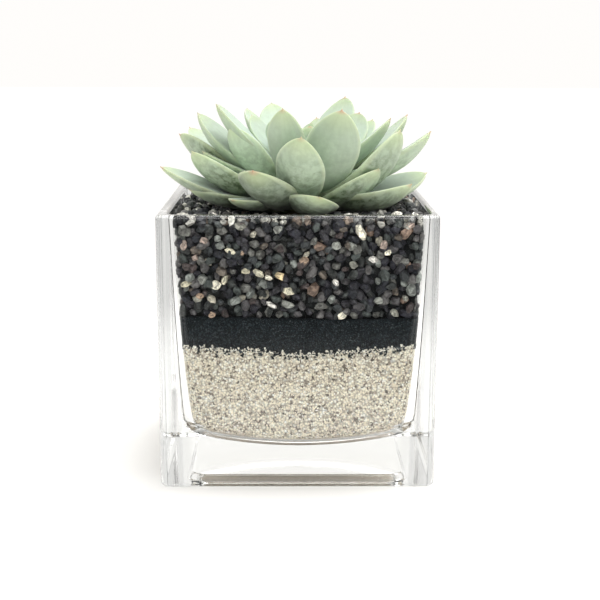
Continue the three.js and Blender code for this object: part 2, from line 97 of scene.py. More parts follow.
# Glass vase
VASE_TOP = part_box("glass_vase")[1].z / MM
VASE_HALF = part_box("glass_vase")[1].x / MM
VASE_CORNER = 2.5
FOOT_CORNER = 3.0
FOOT_ROUND = 1.8
RIM_ROUND = 1.3
RECESS_HALF = 41.0
RECESS_CORNER = 9.0
RECESS_DEPTH = 2.8
RECESS_SLOPE = 2.0
RECESS_STEPS = 8
# Painted shade on the glass: how far its tint is darkened at its vertical corners and its foot
GLASS_SHADE_LEVELS = (0.66, 0.67, 0.68)
SIDE_HEIGHTS = (20.0, 50.0, 80.0)
ROUND_STEPS = 8
LIP_STEPS = 6
LIP_DROP = 1.0
MOUTH_HALF = 46.4
CAVITY_TAPER = 3.5
MOUTH_CORNER = 4.0
FLOOR_CORNER = 12.0
FLOOR_Z = 9.2
DISH_BEND = 0.003
EDGE_Z = 14.0
FLOOR_ROUND = 4.5
LEAST_CORNER = 3.0
CAVITY_SHIFT = (0.6, 0.0)
RING_CORNER_STEPS = 10
RING_SIDE_STEPS = 12

# Layers
TAN_TOP = 49.4
TAN_CORNER_RISE = 2.7
BLACK_TOP = 61.4
BLACK_CORNER_RISE = 1.4
CORNER_SPAN = 43.0
GRAVEL_TOP = 98.2
GRAVEL_DIP = 3.6
GRAVEL_DIP_RADIUS = 26.0
LAYER_CORNER_STEPS = 6
LAYER_SIDE_STEPS = 24
BORDER_STEPS = 140

# Grains and stones: seeds of their shapes, and a tilt that turns them any way
TAN_SEED = 11
BLACK_SEED = 31
PEBBLE_SEED = 61
ANY_WAY = 3.14

# Plant
GOLDEN_ANGLE = 137.508
FIRST_AZIMUTH = 288.0
FIRST_LEAF_Z = 96.8
LEAF_STEP = 0.43
LEAF_POSITIONS = 42
ROOT_SINK = 1.5
ROOT_SHARE = 0.46
WIDEST_AT = 0.65
UPPER_SHARE = 0.3
LEAF_CUP = 0.14
THICKEST_AT = 0.4
ROUND_END_AT = 0.985
POINT_SHARE = 0.10
POINT_LENGTH = 0.06
LEAST_HALF_WIDTH = 0.06
LEAST_THICKNESS = 0.12
LEAF_STATIONS = 40
LEAF_SIDES = 32
STEM_RADIUS = 7.2
STEM_TAPER = 2.6
STEM_STEPS = 32
CROWN_Z = 97
BALL_STEPS = 24

# Places on the spiral at which leaves are young, and over which they age
YOUNG_FROM = 30
AGEING_PLACES = 13

# Numbers that a leaf carries for its material: three that change over it, then four that are fixed for the
# leaf, the last a lightness of painted light and shade
LEAF_VALUES = ("along", "edge", "outer", "tone", "blush", "age", "light")

# Painted light and shade: leaves, by their number, whose colour is made lighter or darker than the rest for
# the light that falls on them
PAINTED_LEAF_LIGHT = {
    8: 1.18, 12: 1.16, 13: 1.22, 17: 0.68, 20: 1.1, 22: 0.97, 25: 1.25, 27: 0.92, 28: 0.92, 30: 0.92,
}

# Each leaf: place on the spiral, lean from its even turn, rise at half length, length, width,
# curl over its length, roll, thickness and lift of its root. Angles are in degrees. The rows of leaves
# that the photo shows are rounded from a least squares fit to marked outlines, and the rest, with
# a lean of 0, are given one by one.
LEAVES = [
    (0, 3, 10, 37, 19.5, 10, -1, 5.0, 2),
    (1, 0, 12, 40, 20.5, 18, 0, 5.0, 0),
    (2, -3, 9, 39, 19, 24, 14, 4.6, 2),
    (3, 0, 13, 38, 20.5, 18, 0, 5.0, 0),
    (4, -2, 15, 46, 24, 24, -12, 5.6, -1.2),
    (5, 5, 3, 35, 15, 16, 1, 4.2, 2.8),
    (6, 0, 14, 40, 21.5, 18, 0, 5.0, 0),
    (7, 3, 26, 37, 21.5, 31, -2, 4.8, -2.2),
    (8, 17, 21, 49.64, 23, 10, 6, 4.6, -5),
    (9, 0, 16, 42, 20.5, 18, 0, 5.0, 0),
    (11, 0, 19, 42, 21.5, 18, 0, 5.0, 0),
    (12, -10, 4, 41, 29, 53, 6, 6.4, 2.8),
    (13, -3, 24, 42, 23, 46, -7, 4.8, 0.4),
    (14, 0, 21, 42, 21.5, 18, 0, 5.0, 0),
    (16, 5, 30, 49, 29, 17, -28, 4.6, -5),
    (17, -6, 36, 48, 21.5, 28, 8, 5.4, -1.2),
    (18, 8, 20, 45, 21, 18, 5, 7.4, -5),
    (19, 0, 25, 41, 20.5, 18, 0, 5.0, 0),
    (20, 2, 35, 48, 23, 58, 0, 7.2, -4.4),
    (21, 0, 22, 33, 18.5, 18, 0, 4.6, 0),
    (22, -7, 30, 45, 16.5, 19, 3, 5.2, -0.8),
    (23, -4, 30, 51, 18.5, 46, 18, 5.6, -4.8),
    (24, 9, 22, 50, 21, 20, 1, 5.4, -0.8),
    (25, -2, 21, 50, 24, 47, 5, 6.2, 0.6),
    (26, -9, 46, 35, 16, 22, -15, 5.4, -5),
    (27, -6, 28, 46, 14, 33, 22, 5.2, -1.8),
    (28, -14, 43, 48, 20, 57, 32, 6.2, -5),
    (29, 8, 38, 42, 23, 25, 9, 5.6, -3),
    (30, 7, 40, 36, 23.5, 25, -4, 5.4, -1.6),
    (31, 7, 39, 46, 14, 36, 1, 5.4, -2.8),
    (32, 2, 32, 42, 14, 9, -25, 5.0, -0.8),
    (33, 2, 35, 39, 22.5, 27, -6, 4.8, -2.4),
    (34, -1, 43, 38, 24, 8, 17, 4.6, -1.6),
    (35, -4, 36, 46, 19.5, 34, 14, 5.4, -1.8),
    (36, 0, 55, 19, 12, 24, 0, 4.4, 0),
    (37, 0, 48, 24, 14, 24, 0, 4.4, 0),
    (38, 0, 48, 24, 14, 24, 0, 4.4, 0),
    (39, 0, 56, 20, 12, 24, 0, 4.2, 0),
    (40, 6, 28, 45, 15.5, 23, 4, 5.2, -1),
    (41, 0, 60, 18, 11, 24, 0, 4.0, 0),
]

# Heart, with pairs of values for its first and its last leaf
HEART_LEAVES = 8
HEART_ROOTS = (116.8, 119.5)
HEART_RADII = (3.9, 1.0)
HEART_LENGTHS = (14.0, 7.0)
HEART_WIDTHS = (9.0, 4.5)
HEART_RISES = (60.0, 82.0)
HEART_THICKNESS = 2.6
HEART_CURL = 26.0
HEART_STATIONS = 18
HEART_SIDES = 20

# Tone, blush, age and painted lightness of each leaf of the heart
HEART_MARKS = (0.9, 0.3, 0.1, 1.0)

# Stones that catch the eye on the front: across, height, length, width, turn in degrees, and shade. They
# were marked on the photo, and a ray through the camera and the glass turned marks into places.
FRONT_STONES = [
    (-6.3, 77.9, 4.4, 3.0, 35, "amber"), (-29.1, 74.5, 3.8, 3.6, 10, "cream"),
    (-25.9, 76.5, 3.9, 2.2, -65, "straw"), (-13.9, 78.8, 4.5, 2.4, 30, "straw"),
    (-10.6, 77.3, 3.5, 1.8, 12, "cream"), (-18.6, 79.6, 3.5, 2.4, 10, "sand"),
    (-39.7, 74.9, 4.1, 2.4, -8, "sand"), (-3.1, 72.3, 4.7, 3.1, 10, "straw"),
    (-3.8, 67.5, 5.6, 2.9, 20, "ash"), (-9.4, 67.3, 4.4, 1.8, 30, "chalk"),
    (-30.8, 63.6, 2.8, 2.5, -20, "rust"), (-34.8, 70.5, 3.0, 2.3, 0, "rust"),
    (-23.9, 86.9, 4.2, 2.0, 20, "straw"), (-20.1, 86.2, 2.4, 2.1, 0, "rust"),
    (-33.2, 90.6, 3.1, 2.6, 0, "rose"), (-40.3, 88.9, 3.9, 2.5, -75, "rose"),
    (-36.3, 84.5, 2.7, 2.4, 0, "rose"), (-7.0, 94.5, 3.5, 3.0, -20, "ash"),
    (-34.0, 76.2, 3.7, 3.5, 0, "ash"), (22.3, 93.5, 6.3, 3.1, 58, "cream"),
    (30.4, 88.8, 4.2, 2.6, -80, "rose"), (26.6, 83.8, 4.0, 2.7, 12, "chalk"),
    (2.3, 83.3, 3.5, 3.2, 0, "rust"), (13.8, 88.8, 3.7, 3.2, 0, "ash"),
    (18.9, 88.6, 3.9, 3.4, 20, "ash"), (39.7, 96.1, 3.2, 2.3, 0, "rose"),
    (13.5, 75.6, 3.1, 2.1, 50, "chalk"), (32.1, 86.4, 3.0, 2.1, -30, "cream"),
    (29.1, 68.9, 4.1, 2.6, 0, "ash"), (15.8, 63.3, 3.5, 2.8, -10, "cream"),
]

# Meshes

def make_piece(name, points, faces, smooth=True):
    """A new object of these points, given in millimetres, linked to the scene."""
    mesh = bpy.data.meshes.new(name)
    mesh.from_pydata((np.asarray(points, float) * MM).tolist(), [], faces)
    mesh.validate()
    mesh.polygons.foreach_set("use_smooth", [smooth] * len(mesh.polygons))
    mesh.update()
    piece = bpy.data.objects.new(name, mesh)
    bpy.context.scene.collection.objects.link(piece)
    return piece


def finish_piece(piece, nodes, material=None):
    """Rides the piece on the part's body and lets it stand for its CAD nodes."""
    if material is not None:
        piece.data.materials.clear()
        piece.data.materials.append(material)
    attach(piece, "root")
    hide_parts(*nodes)
    return piece


def skin_faces(ring_count, side_count, close_start=True, close_end=True):
    """Quads between rings of points, with the first and last ring closed by one face each."""
    faces = []
    for i in range(ring_count - 1):
        for k in range(side_count):
            a, b = i * side_count + k, i * side_count + (k + 1) % side_count
            faces.append((a, b, b + side_count, a + side_count))
    if close_start:
        faces.append(tuple(reversed(range(side_count))))
    if close_end:
        last = (ring_count - 1) * side_count
        faces.append(tuple(last + k for k in range(side_count)))
    return faces


def ring_weights(corner_steps=RING_CORNER_STEPS, side_steps=RING_SIDE_STEPS):
    """Shares of half width and corner radius that give each point of a square ring with round corners."""
    from_half, from_corner = [], []
    for quarter in range(4):
        start = quarter * math.pi / 2
        centre = np.array((1 if quarter in (0, 3) else -1, 1 if quarter in (0, 1) else -1), float)
        toward = np.array((-math.sin(start + math.pi / 2), math.cos(start + math.pi / 2)))
        for step in range(corner_steps + side_steps):
            turn = min(1.0, step / corner_steps) * math.pi / 2
            run = 2 * max(0.0, (step - corner_steps) / side_steps)
            way = np.array((math.cos(start + turn), math.sin(start + turn)))
            from_half.append(centre + toward * run)
            from_corner.append(way - centre - toward * run)
    return np.array(from_half), np.array(from_corner)


def outline(half, corner, weights):
    """Points of a square ring; half width and corner radius may differ from point to point."""
    from_half, from_corner = weights
    return np.reshape(half, (-1, 1)) * from_half + np.reshape(corner, (-1, 1)) * from_corner


def wall_size(z):
    """Half width and corner radius of the vase's inside wall at a height."""
    depth = (VASE_TOP - z) / (VASE_TOP - EDGE_Z)
    return MOUTH_HALF - CAVITY_TAPER * depth, MOUTH_CORNER + (FLOOR_CORNER - MOUTH_CORNER) * depth ** 3


def floor_height(places):
    """Height of the dished inside floor."""
    return FLOOR_Z + DISH_BEND * (places ** 2).sum(axis=-1)


def floor_rings(clearance, weights, dish_rings=6, round_steps=6):
    """Rings of the dished floor and of the round edge where it meets the wall, from the middle outwards."""
    half, corner = wall_size(EDGE_Z + FLOOR_ROUND)
    inner = outline(
        half - FLOOR_ROUND - clearance, max(LEAST_CORNER, corner - FLOOR_ROUND * 0.5), weights,
    )
    rings = []
    for k in range(1, dish_rings + 1):
        places = inner * k / (dish_rings + 1)
        rings.append(np.column_stack((places + CAVITY_SHIFT, floor_height(places) + clearance)))
    for k in range(round_steps):
        angle = (1 - k / round_steps) * math.pi / 2
        inset = FLOOR_ROUND * (1 - math.cos(angle))
        places = outline(half - inset - clearance, max(LEAST_CORNER, corner - inset * 0.5), weights)
        lift = FLOOR_ROUND * (1 - math.sin(angle)) + clearance
        rings.append(np.column_stack((places + CAVITY_SHIFT, floor_height(places) + lift)))
    return rings


def wall_rings(low, high, clearance, weights, steps, power=1.0):
    """Rings up the inside wall between two heights given for each point of the ring."""
    rings = []
    for k in range(steps + 1):
        z = low + (high - low) * (k / steps) ** power
        half, corner = wall_size(z)
        places = outline(half - clearance, np.maximum(corner - clearance, 1), weights)
        rings.append(np.column_stack((places + CAVITY_SHIFT, z)))
    return rings


def wall_foot(clearance, weights):
    """Heights at which the wall starts above the round edge of the floor."""
    half, corner = wall_size(EDGE_Z + FLOOR_ROUND)
    places = outline(half - clearance, corner, weights)
    return floor_height(places) + FLOOR_ROUND + clearance


def keep_inside(points, clearance):
    """Moves points, in millimetres, that lie past the inside of the vase back to it, less a clearance."""
    moved = points.copy()
    moved[:, :2] -= CAVITY_SHIFT
    places = moved[:, :2].copy()
    floor = floor_height(places)
    moved[:, 2] = np.maximum(points[:, 2], floor + clearance)
    half, corner = wall_size(np.clip(moved[:, 2], EDGE_Z, VASE_TOP))
    rise = np.clip(floor + FLOOR_ROUND - moved[:, 2], 0, FLOOR_ROUND)
    inset = FLOOR_ROUND - np.sqrt(FLOOR_ROUND ** 2 - rise ** 2)
    half = half - inset - clearance
    corner = np.maximum(corner - inset * 0.5 - clearance, 1.0)
    q = np.abs(places) - (half - corner)[:, None]
    outer = np.maximum(q, 0)
    length = np.linalg.norm(outer, axis=1)
    distance = length + np.minimum(q.max(axis=1), 0) - corner
    past = (distance > 0) & (length > 1e-9)
    direction = np.sign(places) * outer / np.maximum(length, 1e-9)[:, None]
    moved[past, :2] -= direction[past] * distance[past, None]
    moved[:, :2] += CAVITY_SHIFT
    return moved


# Node trees

def add(tree, kind, inputs=(), **settings):
    """A new node. inputs gives, by socket name or number, a value or an output to join."""
    node = tree.nodes.new(kind)
    for key, value in settings.items():
        setattr(node, key, value)
    for key, value in dict(inputs).items():
        socket = node.inputs[key]
        if isinstance(value, bpy.types.NodeSocket):
            tree.links.new(value, socket)
        else:
            socket.default_value = value
    return node


def add_sockets(tree, side, sockets):
    """Named sockets of a node group, each given as its name, kind and default value."""
    for name, kind, value in sockets:
        socket = tree.interface.new_socket(name, in_out=side, socket_type=f"NodeSocket{kind}")
        if value is not None:
            socket.default_value = value


def calc(tree, operation, first, second=0.5, clamp=False):
    """One step of arithmetic."""
    node = add(tree, "ShaderNodeMath", {0: first, 1: second}, operation=operation, use_clamp=clamp)
    return node.outputs[0]


def times(tree, first, *others):
    """Values multiplied together."""
    for other in others:
        first = calc(tree, "MULTIPLY", first, other)
    return first


def plus(tree, first, *others):
    """Values added together."""
    for other in others:
        first = calc(tree, "ADD", first, other)
    return first


def less(tree, first, second):
    """One value less another."""
    return calc(tree, "SUBTRACT", first, second)


def blend(tree, factor, first, second, mode="MIX"):
    """Two colours mixed by a factor."""
    node = add(tree, "ShaderNodeMix", {0: factor, 6: first, 7: second}, data_type="RGBA", blend_type=mode)
    return node.outputs[2]


def darken(tree, colour, level):
    """A colour multiplied by a level of grey."""
    grey = add(tree, "ShaderNodeCombineColor", {0: level, 1: level, 2: level}).outputs[0]
    return blend(tree, 1.0, colour, grey, "MULTIPLY")


def spread(tree, value, low, high, least=0.0, most=1.0):
    """A value mapped smoothly from one range to another and kept within it."""
    inputs = {"Value": value, "From Min": low, "From Max": high, "To Min": least, "To Max": most}
    return add(tree, "ShaderNodeMapRange", inputs, interpolation_type="SMOOTHSTEP").outputs[0]


def object_place(tree):
    """Where a point is on its piece."""
    return add(tree, "ShaderNodeTexCoord").outputs["Object"]


def split(tree, vector):
    """The X, Y and Z of a vector."""
    return add(tree, "ShaderNodeSeparateXYZ", {0: vector}).outputs


def cloud(tree, place, scale, detail=3.0, roughness=0.55, distortion=0.0):
    """Soft noise between 0 and 1."""
    inputs = {
        "Vector": place, "Scale": scale, "Detail": detail,
        "Roughness": roughness, "Distortion": distortion,
    }
    return add(tree, "ShaderNodeTexNoise", inputs).outputs["Fac"]


def ramp(tree, value, colours, interpolation="LINEAR"):
    """A colour looked up along a list of (position, colour)."""
    node = add(tree, "ShaderNodeValToRGB", {"Fac": value})
    band = node.color_ramp
    band.interpolation = interpolation
    while len(band.elements) < len(colours):
        band.elements.new(1.0)
    for element, (position, colour) in zip(band.elements, colours):
        element.position = position
        element.color = colour
    return node.outputs["Color"]


def attribute(tree, name, output="Fac"):
    """A number or a colour kept on the mesh."""
    return add(tree, "ShaderNodeAttribute", attribute_name=name).outputs[output]


def bumped(tree, height, strength, distance):
    """A normal raised by a height."""
    inputs = {"Strength": strength, "Distance": distance, "Height": height}
    return add(tree, "ShaderNodeBump", inputs).outputs["Normal"]


def mix_shaders(tree, factor, first, second):
    """Two shaders mixed by a factor."""
    return add(tree, "ShaderNodeMixShader", {0: factor, 1: first.outputs[0], 2: second.outputs[0]})


def new_material(name):
    """An empty material and its tree."""
    material = bpy.data.materials.new(name)
    material.use_nodes = True
    material.node_tree.nodes.clear()
    return material, material.node_tree


def shown(material, shader):
    """The material, with a shader joined to its output."""
    add(material.node_tree, "ShaderNodeOutputMaterial", {"Surface": shader.outputs[0]})
    return material


def coated(material, inputs):
    """The material, with a Principled surface that has these inputs."""
    return shown(material, add(material.node_tree, "ShaderNodeBsdfPrincipled", inputs))


def shade(red, green, blue):
    """A colour given as it looks on screen, from 0 to 255, as the linear value nodes use."""
    def linear(value):
        value /= 255
        return value / 12.92 if value <= 0.04045 else ((value + 0.055) / 1.055) ** 2.4
    return (linear(red), linear(green), linear(blue), 1.0)


def stops(*rows):
    """Stops of a ramp from rows of position, red, green and blue."""
    return [(position, shade(*colour)) for position, *colour in rows]


def speckle_group():
    """Fine mineral speckle: a colour is varied by grain-sized and broad noise, and a height comes out."""
    tree = bpy.data.node_groups.new("mineral_speckle", "ShaderNodeTree")
    add_sockets(tree, "INPUT", (
        ("Colour", "Color", None), ("Scale", "Float", 900.0), ("Contrast", "Float", 0.35),
        ("Offset", "Float", 0.0),
    ))
    add_sockets(tree, "OUTPUT", (("Colour", "Color", None), ("Height", "Float", None)))
    given = add(tree, "NodeGroupInput").outputs
    shift = add(tree, "ShaderNodeCombineXYZ", {"X": given["Offset"]}).outputs[0]
    moved = add(tree, "ShaderNodeVectorMath", {0: object_place(tree), 1: shift}, operation="ADD").outputs[0]
    fine = cloud(tree, moved, given["Scale"], detail=3.0, roughness=0.65)
    broad = cloud(tree, moved, times(tree, given["Scale"], 0.22), detail=2.0, roughness=0.5)
    mixed = plus(tree, times(tree, fine, 0.62), times(tree, broad, 0.38))
    gain = plus(tree, times(tree, less(tree, mixed, 0.5), given["Contrast"], 4.0), 1.0)
    varied = darken(tree, given["Colour"], calc(tree, "MAXIMUM", gain, 0.15))
    add(tree, "NodeGroupOutput", {"Colour": varied, "Height": mixed})
    return tree


def speckled(tree, colour, scale, contrast, offset=0.0):
    """The speckle group placed in a material: its colour and height outputs."""
    group = bpy.data.node_groups.get("mineral_speckle") or speckle_group()
    inputs = {"Colour": colour, "Scale": scale, "Contrast": contrast, "Offset": offset}
    node = add(tree, "ShaderNodeGroup", inputs, node_tree=group)
    return node.outputs["Colour"], node.outputs["Height"]


# Materials. A range is what spread takes: from low and high to least and most, with places in metres.

# Painted shade on the glass: darker towards its vertical corners, a darker line along each corner and a
# darker foot
EDGE_SHADE = (0.092, 0.0965, 0.0, 0.4)
EDGE_LINE = (0.0966, 0.0975, 0.0, 0.6)
FOOT_SHADE = (0.0003, 0.0022, 1.0, 0.0)
GLASS_ROUGHNESS = 0.04
GLASS_IOR = 1.5
WAVE_SCALE = 26.0
CLEAR_GLASS = (0.93, 0.935, 0.93, 1)


def glass_material(tint):
    """Clear pressed glass with a faint waviness, which lets lamp light through to what it holds. Its tint is
    darkened by painted shade towards its vertical corners and at its foot.
    """
    material, tree = new_material("pressed_clear_glass")
    place = object_place(tree)
    parts = split(tree, place)
    cornerward = plus(tree, calc(tree, "ABSOLUTE", parts["X"]), calc(tree, "ABSOLUTE", parts["Y"]))
    side = plus(tree, spread(tree, cornerward, *EDGE_SHADE), spread(tree, cornerward, *EDGE_LINE))
    # Painted shade: the tint is darkened near the vertical corners and at the foot
    painted_shade_mask = calc(tree, "MAXIMUM", side, spread(tree, parts["Z"], *FOOT_SHADE))
    shaded_tint = tuple(c * d for c, d in zip(tint[:3], GLASS_SHADE_LEVELS)) + (1.0,)
    glass = add(tree, "ShaderNodeBsdfPrincipled", {
        "Base Color": blend(tree, painted_shade_mask, tint, shaded_tint), "Roughness": GLASS_ROUGHNESS, "IOR": GLASS_IOR,
        "Transmission Weight": 1.0,
        "Normal": bumped(tree, cloud(tree, place, WAVE_SCALE, detail=1.5, roughness=0.4), 0.03, 0.002),
    })
    clear = add(tree, "ShaderNodeBsdfTransparent", {"Color": CLEAR_GLASS})
    path = add(tree, "ShaderNodeLightPath").outputs
    soft = mix_shaders(tree, path["Is Diffuse Ray"], glass, clear)
    return shown(material, mix_shaders(tree, path["Is Shadow Ray"], soft, clear))


TAN_STOPS = stops(
    (0.0, 104, 94, 84), (0.08, 164, 152, 138), (0.21, 224, 213, 195), (0.5, 245, 235, 214),
    (0.68, 252, 244, 224), (0.85, 255, 251, 236), (1.0, 255, 254, 250),
)
BLACK_STOPS = stops(
    (0.0, 17, 23, 27), (0.5, 30, 39, 44), (0.82, 46, 56, 61), (0.95, 64, 73, 77), (1.0, 88, 95, 98),
)
# Dusty floor under the vase, darkened also as painted shade
FOOT_DUST_AND_SHADE_STOPS = stops((0.25, 196, 186, 176), (0.5, 226, 216, 206), (0.75, 246, 238, 230))
# Painted shade: dark colours of the gravel bed that shows between the stones
SHADOW_STOPS = stops((0.0, 18, 21, 22), (0.6, 32, 35, 36), (1.0, 56, 57, 55))
STONE_STOPS = stops(
    (0.0, 38, 40, 46), (0.10, 56, 55, 60), (0.21, 64, 68, 70), (0.31, 46, 46, 54),
    (0.41, 82, 80, 82), (0.50, 56, 59, 58), (0.59, 98, 96, 96), (0.67, 72, 78, 76),
    (0.74, 112, 112, 108), (0.80, 84, 75, 74), (0.85, 130, 134, 130), (0.89, 102, 94, 86),
    (0.93, 156, 155, 145), (0.955, 144, 122, 108), (0.975, 194, 188, 172),
)
# Painted light: the stones over the top take lighter, more contrasted colours than those against the glass,
# for the light that falls on the top
LIT_TOP_STONE_STOPS = stops(
    (0.0, 22, 23, 28), (0.14, 50, 51, 56), (0.26, 116, 116, 116), (0.36, 30, 32, 38),
    (0.48, 170, 168, 162), (0.56, 58, 58, 58), (0.66, 214, 212, 204), (0.73, 80, 84, 84),
    (0.81, 130, 116, 106), (0.87, 236, 232, 222), (0.94, 90, 88, 88),
)
SCAR_STOPS = stops((0.0, 112, 100, 70), (0.5, 134, 138, 92), (1.0, 158, 160, 118))
SOIL_STOPS = stops((0.3, 28, 22, 18), (0.55, 58, 44, 34), (0.75, 104, 84, 62))
GRAIN_SHADES = {
    "ash": shade(150, 152, 146), "sand": shade(184, 178, 156), "straw": shade(212, 206, 184),
    "cream": shade(238, 232, 214), "chalk": shade(226, 222, 216), "amber": shade(230, 208, 166),
    "rust": shade(170, 146, 126), "rose": shade(176, 158, 148),
}

# A longer list of colours than this is looked up without blending
MOST_BLENDED_STOPS = 8

# Damp patches low in the tan sand, and the drier, paler top of it
DAMP_TINT = (0.84, 0.78, 0.82, 1.0)
DAMP_DEPTH = (0.016, 0.038, 1.0, 0.15)
DAMP_PATCHES = 130.0
DRY_TINT = (1.0, 0.98, 0.9, 1.0)
DRY_CREST = (0.0445, 0.0485, 0.0, 0.5)


def damp_and_dry(tree, colour):
    """Sand darkened in damp patches low down and paler at its top."""
    place = object_place(tree)
    height = split(tree, place)["Z"]
    patch = spread(tree, cloud(tree, place, DAMP_PATCHES), 0.4, 0.56)
    damp = times(tree, patch, spread(tree, height, *DAMP_DEPTH))
    darker = blend(tree, damp, colour, DAMP_TINT, "MULTIPLY")
    return blend(tree, spread(tree, height, *DRY_CREST), darker, DRY_TINT)


def facet_painted_light(tree, least):
    """Painted light and shade for each flat face of a stone: a lightness drawn from the way that the face
    looks.
    """
    way = add(tree, "ShaderNodeNewGeometry").outputs["True Normal"]
    coarse = add(tree, "ShaderNodeVectorMath", {0: way, 1: (0.02, 0.02, 0.02)}, operation="SNAP").outputs[0]
    drawn = add(tree, "ShaderNodeTexWhiteNoise", {"Vector": coarse}).outputs["Value"]
    return spread(tree, drawn, 0.0, 1.0, least, 2.0 - least)


def grain_material(name, colours, scale, contrast, roughness, lift, shine=0.3, painted_facet_light=1.0, damp=False):
    """Loose mineral grains or stones, each in its own colour from a list."""
    material, tree = new_material(name)
    tone = attribute(tree, "tone")
    common = ramp(tree, tone, colours, "CONSTANT" if len(colours) > MOST_BLENDED_STOPS else "LINEAR")
    base = blend(tree, attribute(tree, "chosen"), common, attribute(tree, "chosen_shade", "Color"))
    if damp:
        base = damp_and_dry(tree, base)
    colour, height = speckled(tree, base, scale, contrast, times(tree, tone, 0.4))
    # Painted light and shade: each flat face made lighter or darker by its direction
    if painted_facet_light < 1.0:
        colour = darken(tree, colour, facet_painted_light(tree, painted_facet_light))
    return coated(material, {
        "Base Color": colour, "Roughness": spread(tree, height, 0.2, 0.8, roughness, roughness + 0.2),
        "Specular IOR Level": shine, "Normal": bumped(tree, height, lift, 0.0004),
    })


def bed_material(name, colours, grain, roughness, gap_shade=0.35):
    """What lies behind the loose grains: packed grains as cells of different colours, darkened towards the
    gaps between cells as painted shade.
    """
    material, tree = new_material(name)
    inputs = {"Vector": object_place(tree), "Scale": grain, "Randomness": 1.0}
    cells = add(tree, "ShaderNodeTexVoronoi", inputs).outputs
    tone = add(tree, "ShaderNodeSeparateColor", {0: cells["Color"]}).outputs[0]
    # Painted shade in the gaps between cells
    shaded = darken(
        tree, ramp(tree, tone, colours), spread(tree, cells["Distance"], 0.25, 0.75, 1.0, gap_shade),
    )
    colour, height = speckled(tree, shaded, grain * 3, 0.2)
    tall = less(tree, times(tree, height, 0.3), cells["Distance"])
    return coated(material, {
        "Base Color": colour, "Roughness": roughness, "Specular IOR Level": 0.15,
        "Normal": bumped(tree, tall, 0.7, 0.0005),
    })


def leaf_material(settings):
    """Fleshy grey-green leaf under a pale powder, which is rubbed off in places on the outer face. Painted
    shade darkens the outer face of older leaves towards the root, a painted lightness varies each leaf, and
    the pale rim is partly a painted highlight.
    """
    material, tree = new_material("powdery_leaf")
    along, edge, outer, tone, blush, age, light = (attribute(tree, key) for key in LEAF_VALUES)
    place = object_place(tree)
    chart = add(tree, "ShaderNodeUVMap", uv_map="leaf").outputs[0]
    stretched = add(tree, "ShaderNodeMapping", {"Vector": chart, "Scale": (1.0, 0.1, 1.0)}).outputs[0]

    inner = blend(tree, spread(tree, along, 0.35, 0.95), settings.leaf_inner, settings.leaf_upper)
    ripe = plus(tree, along, times(tree, less(tree, 1.0, age), 0.3))
    outside = blend(tree, spread(tree, ripe, 0.28, 0.85), settings.leaf_base, settings.leaf_outer)
    powder = blend(tree, outer, inner, outside)
    young = times(tree, tone, 0.5, less(tree, 1.1, age))
    varied = blend(tree, young, powder, settings.leaf_young)

    patches = cloud(tree, place, 300.0, detail=5.0, roughness=0.68, distortion=0.25)
    rub_zone = times(tree, outer, age, spread(tree, along, 0.5, 1.0, 1.0, 0.2))
    rub_mask = times(tree, spread(tree, patches, 0.4, 0.62), rub_zone)
    rubbed = blend(tree, times(tree, rub_mask, 0.95), varied, settings.leaf_bare)

    mottle = cloud(tree, place, 420.0, roughness=0.6)
    streaks = cloud(tree, stretched, 26.0, roughness=0.6)
    cover = plus(tree, times(tree, mottle, 0.26), times(tree, streaks, 0.22), 0.735)
    # Painted shade: the outer face of older leaves is darkened towards the root
    painted_base_shade = times(tree, spread(tree, along, 0.25, 0.95, 0.46, 0.0), age, age, outer)
    # Painted light and shade: each leaf's colour is also scaled by its painted lightness
    powdery = darken(tree, rubbed, times(tree, cover, light, less(tree, 1.0, painted_base_shade)))

    tip_green = times(tree, spread(tree, along, 0.8, 1.0), 0.45)
    tipped = blend(tree, tip_green, powdery, settings.leaf_tip)
    # Pale margin, brightened in part as a painted highlight of light through and off the thin edge
    ragged_edge = plus(tree, edge, times(tree, less(tree, patches, 0.5), 0.10))
    rim_share = plus(tree, times(tree, age, 0.2), 0.3)
    rim = times(tree, spread(tree, ragged_edge, 0.87, 0.985), rim_share)
    rimmed = blend(tree, rim, tipped, settings.leaf_rim_highlight)
    blush_zone = times(tree, spread(tree, along, 0.955, 1.0), blush)

    height = plus(tree, times(tree, mottle, 0.6), times(tree, streaks, 0.8))
    return coated(material, {
        "Base Color": blend(tree, blush_zone, rimmed, settings.leaf_blush),
        "Roughness": less(tree, 0.62, times(tree, rub_mask, 0.2)),
        "Subsurface Weight": 0.22, "Subsurface Radius": (0.8, 1.0, 0.6), "Subsurface Scale": 0.0022,
        "Sheen Weight": 0.12, "Sheen Roughness": 0.5,
        "Normal": bumped(tree, height, 0.25, 0.0003),
    })


def stem_material():
    """Green-brown stem with rings of old leaf scars."""
    material, tree = new_material("scarred_stem")
    rings = add(tree, "ShaderNodeTexWave", {
        "Vector": object_place(tree), "Scale": 90.0, "Distortion": 6.0, "Detail": 2.0,
    }, bands_direction="Z").outputs["Fac"]
    colour, height = speckled(tree, ramp(tree, rings, SCAR_STOPS), 700.0, 0.3)
    return coated(material, {
        "Base Color": colour, "Roughness": 0.7,
        "Normal": bumped(tree, plus(tree, rings, height), 0.5, 0.0004),
    })


def soil_material():
    """Dark potting soil with paler crumbs."""
    material, tree = new_material("potting_soil")
    crumbs = cloud(tree, object_place(tree), 320.0, detail=5.0, roughness=0.7)
    colour, height = speckled(tree, ramp(tree, crumbs, SOIL_STOPS), 1200.0, 0.5)
    return coated(material, {
        "Base Color": colour, "Roughness": 0.9,
        "Normal": bumped(tree, plus(tree, crumbs, height), 0.9, 0.001),
    })


ROOM_COLOUR = (1.0, 0.985, 0.965, 1)
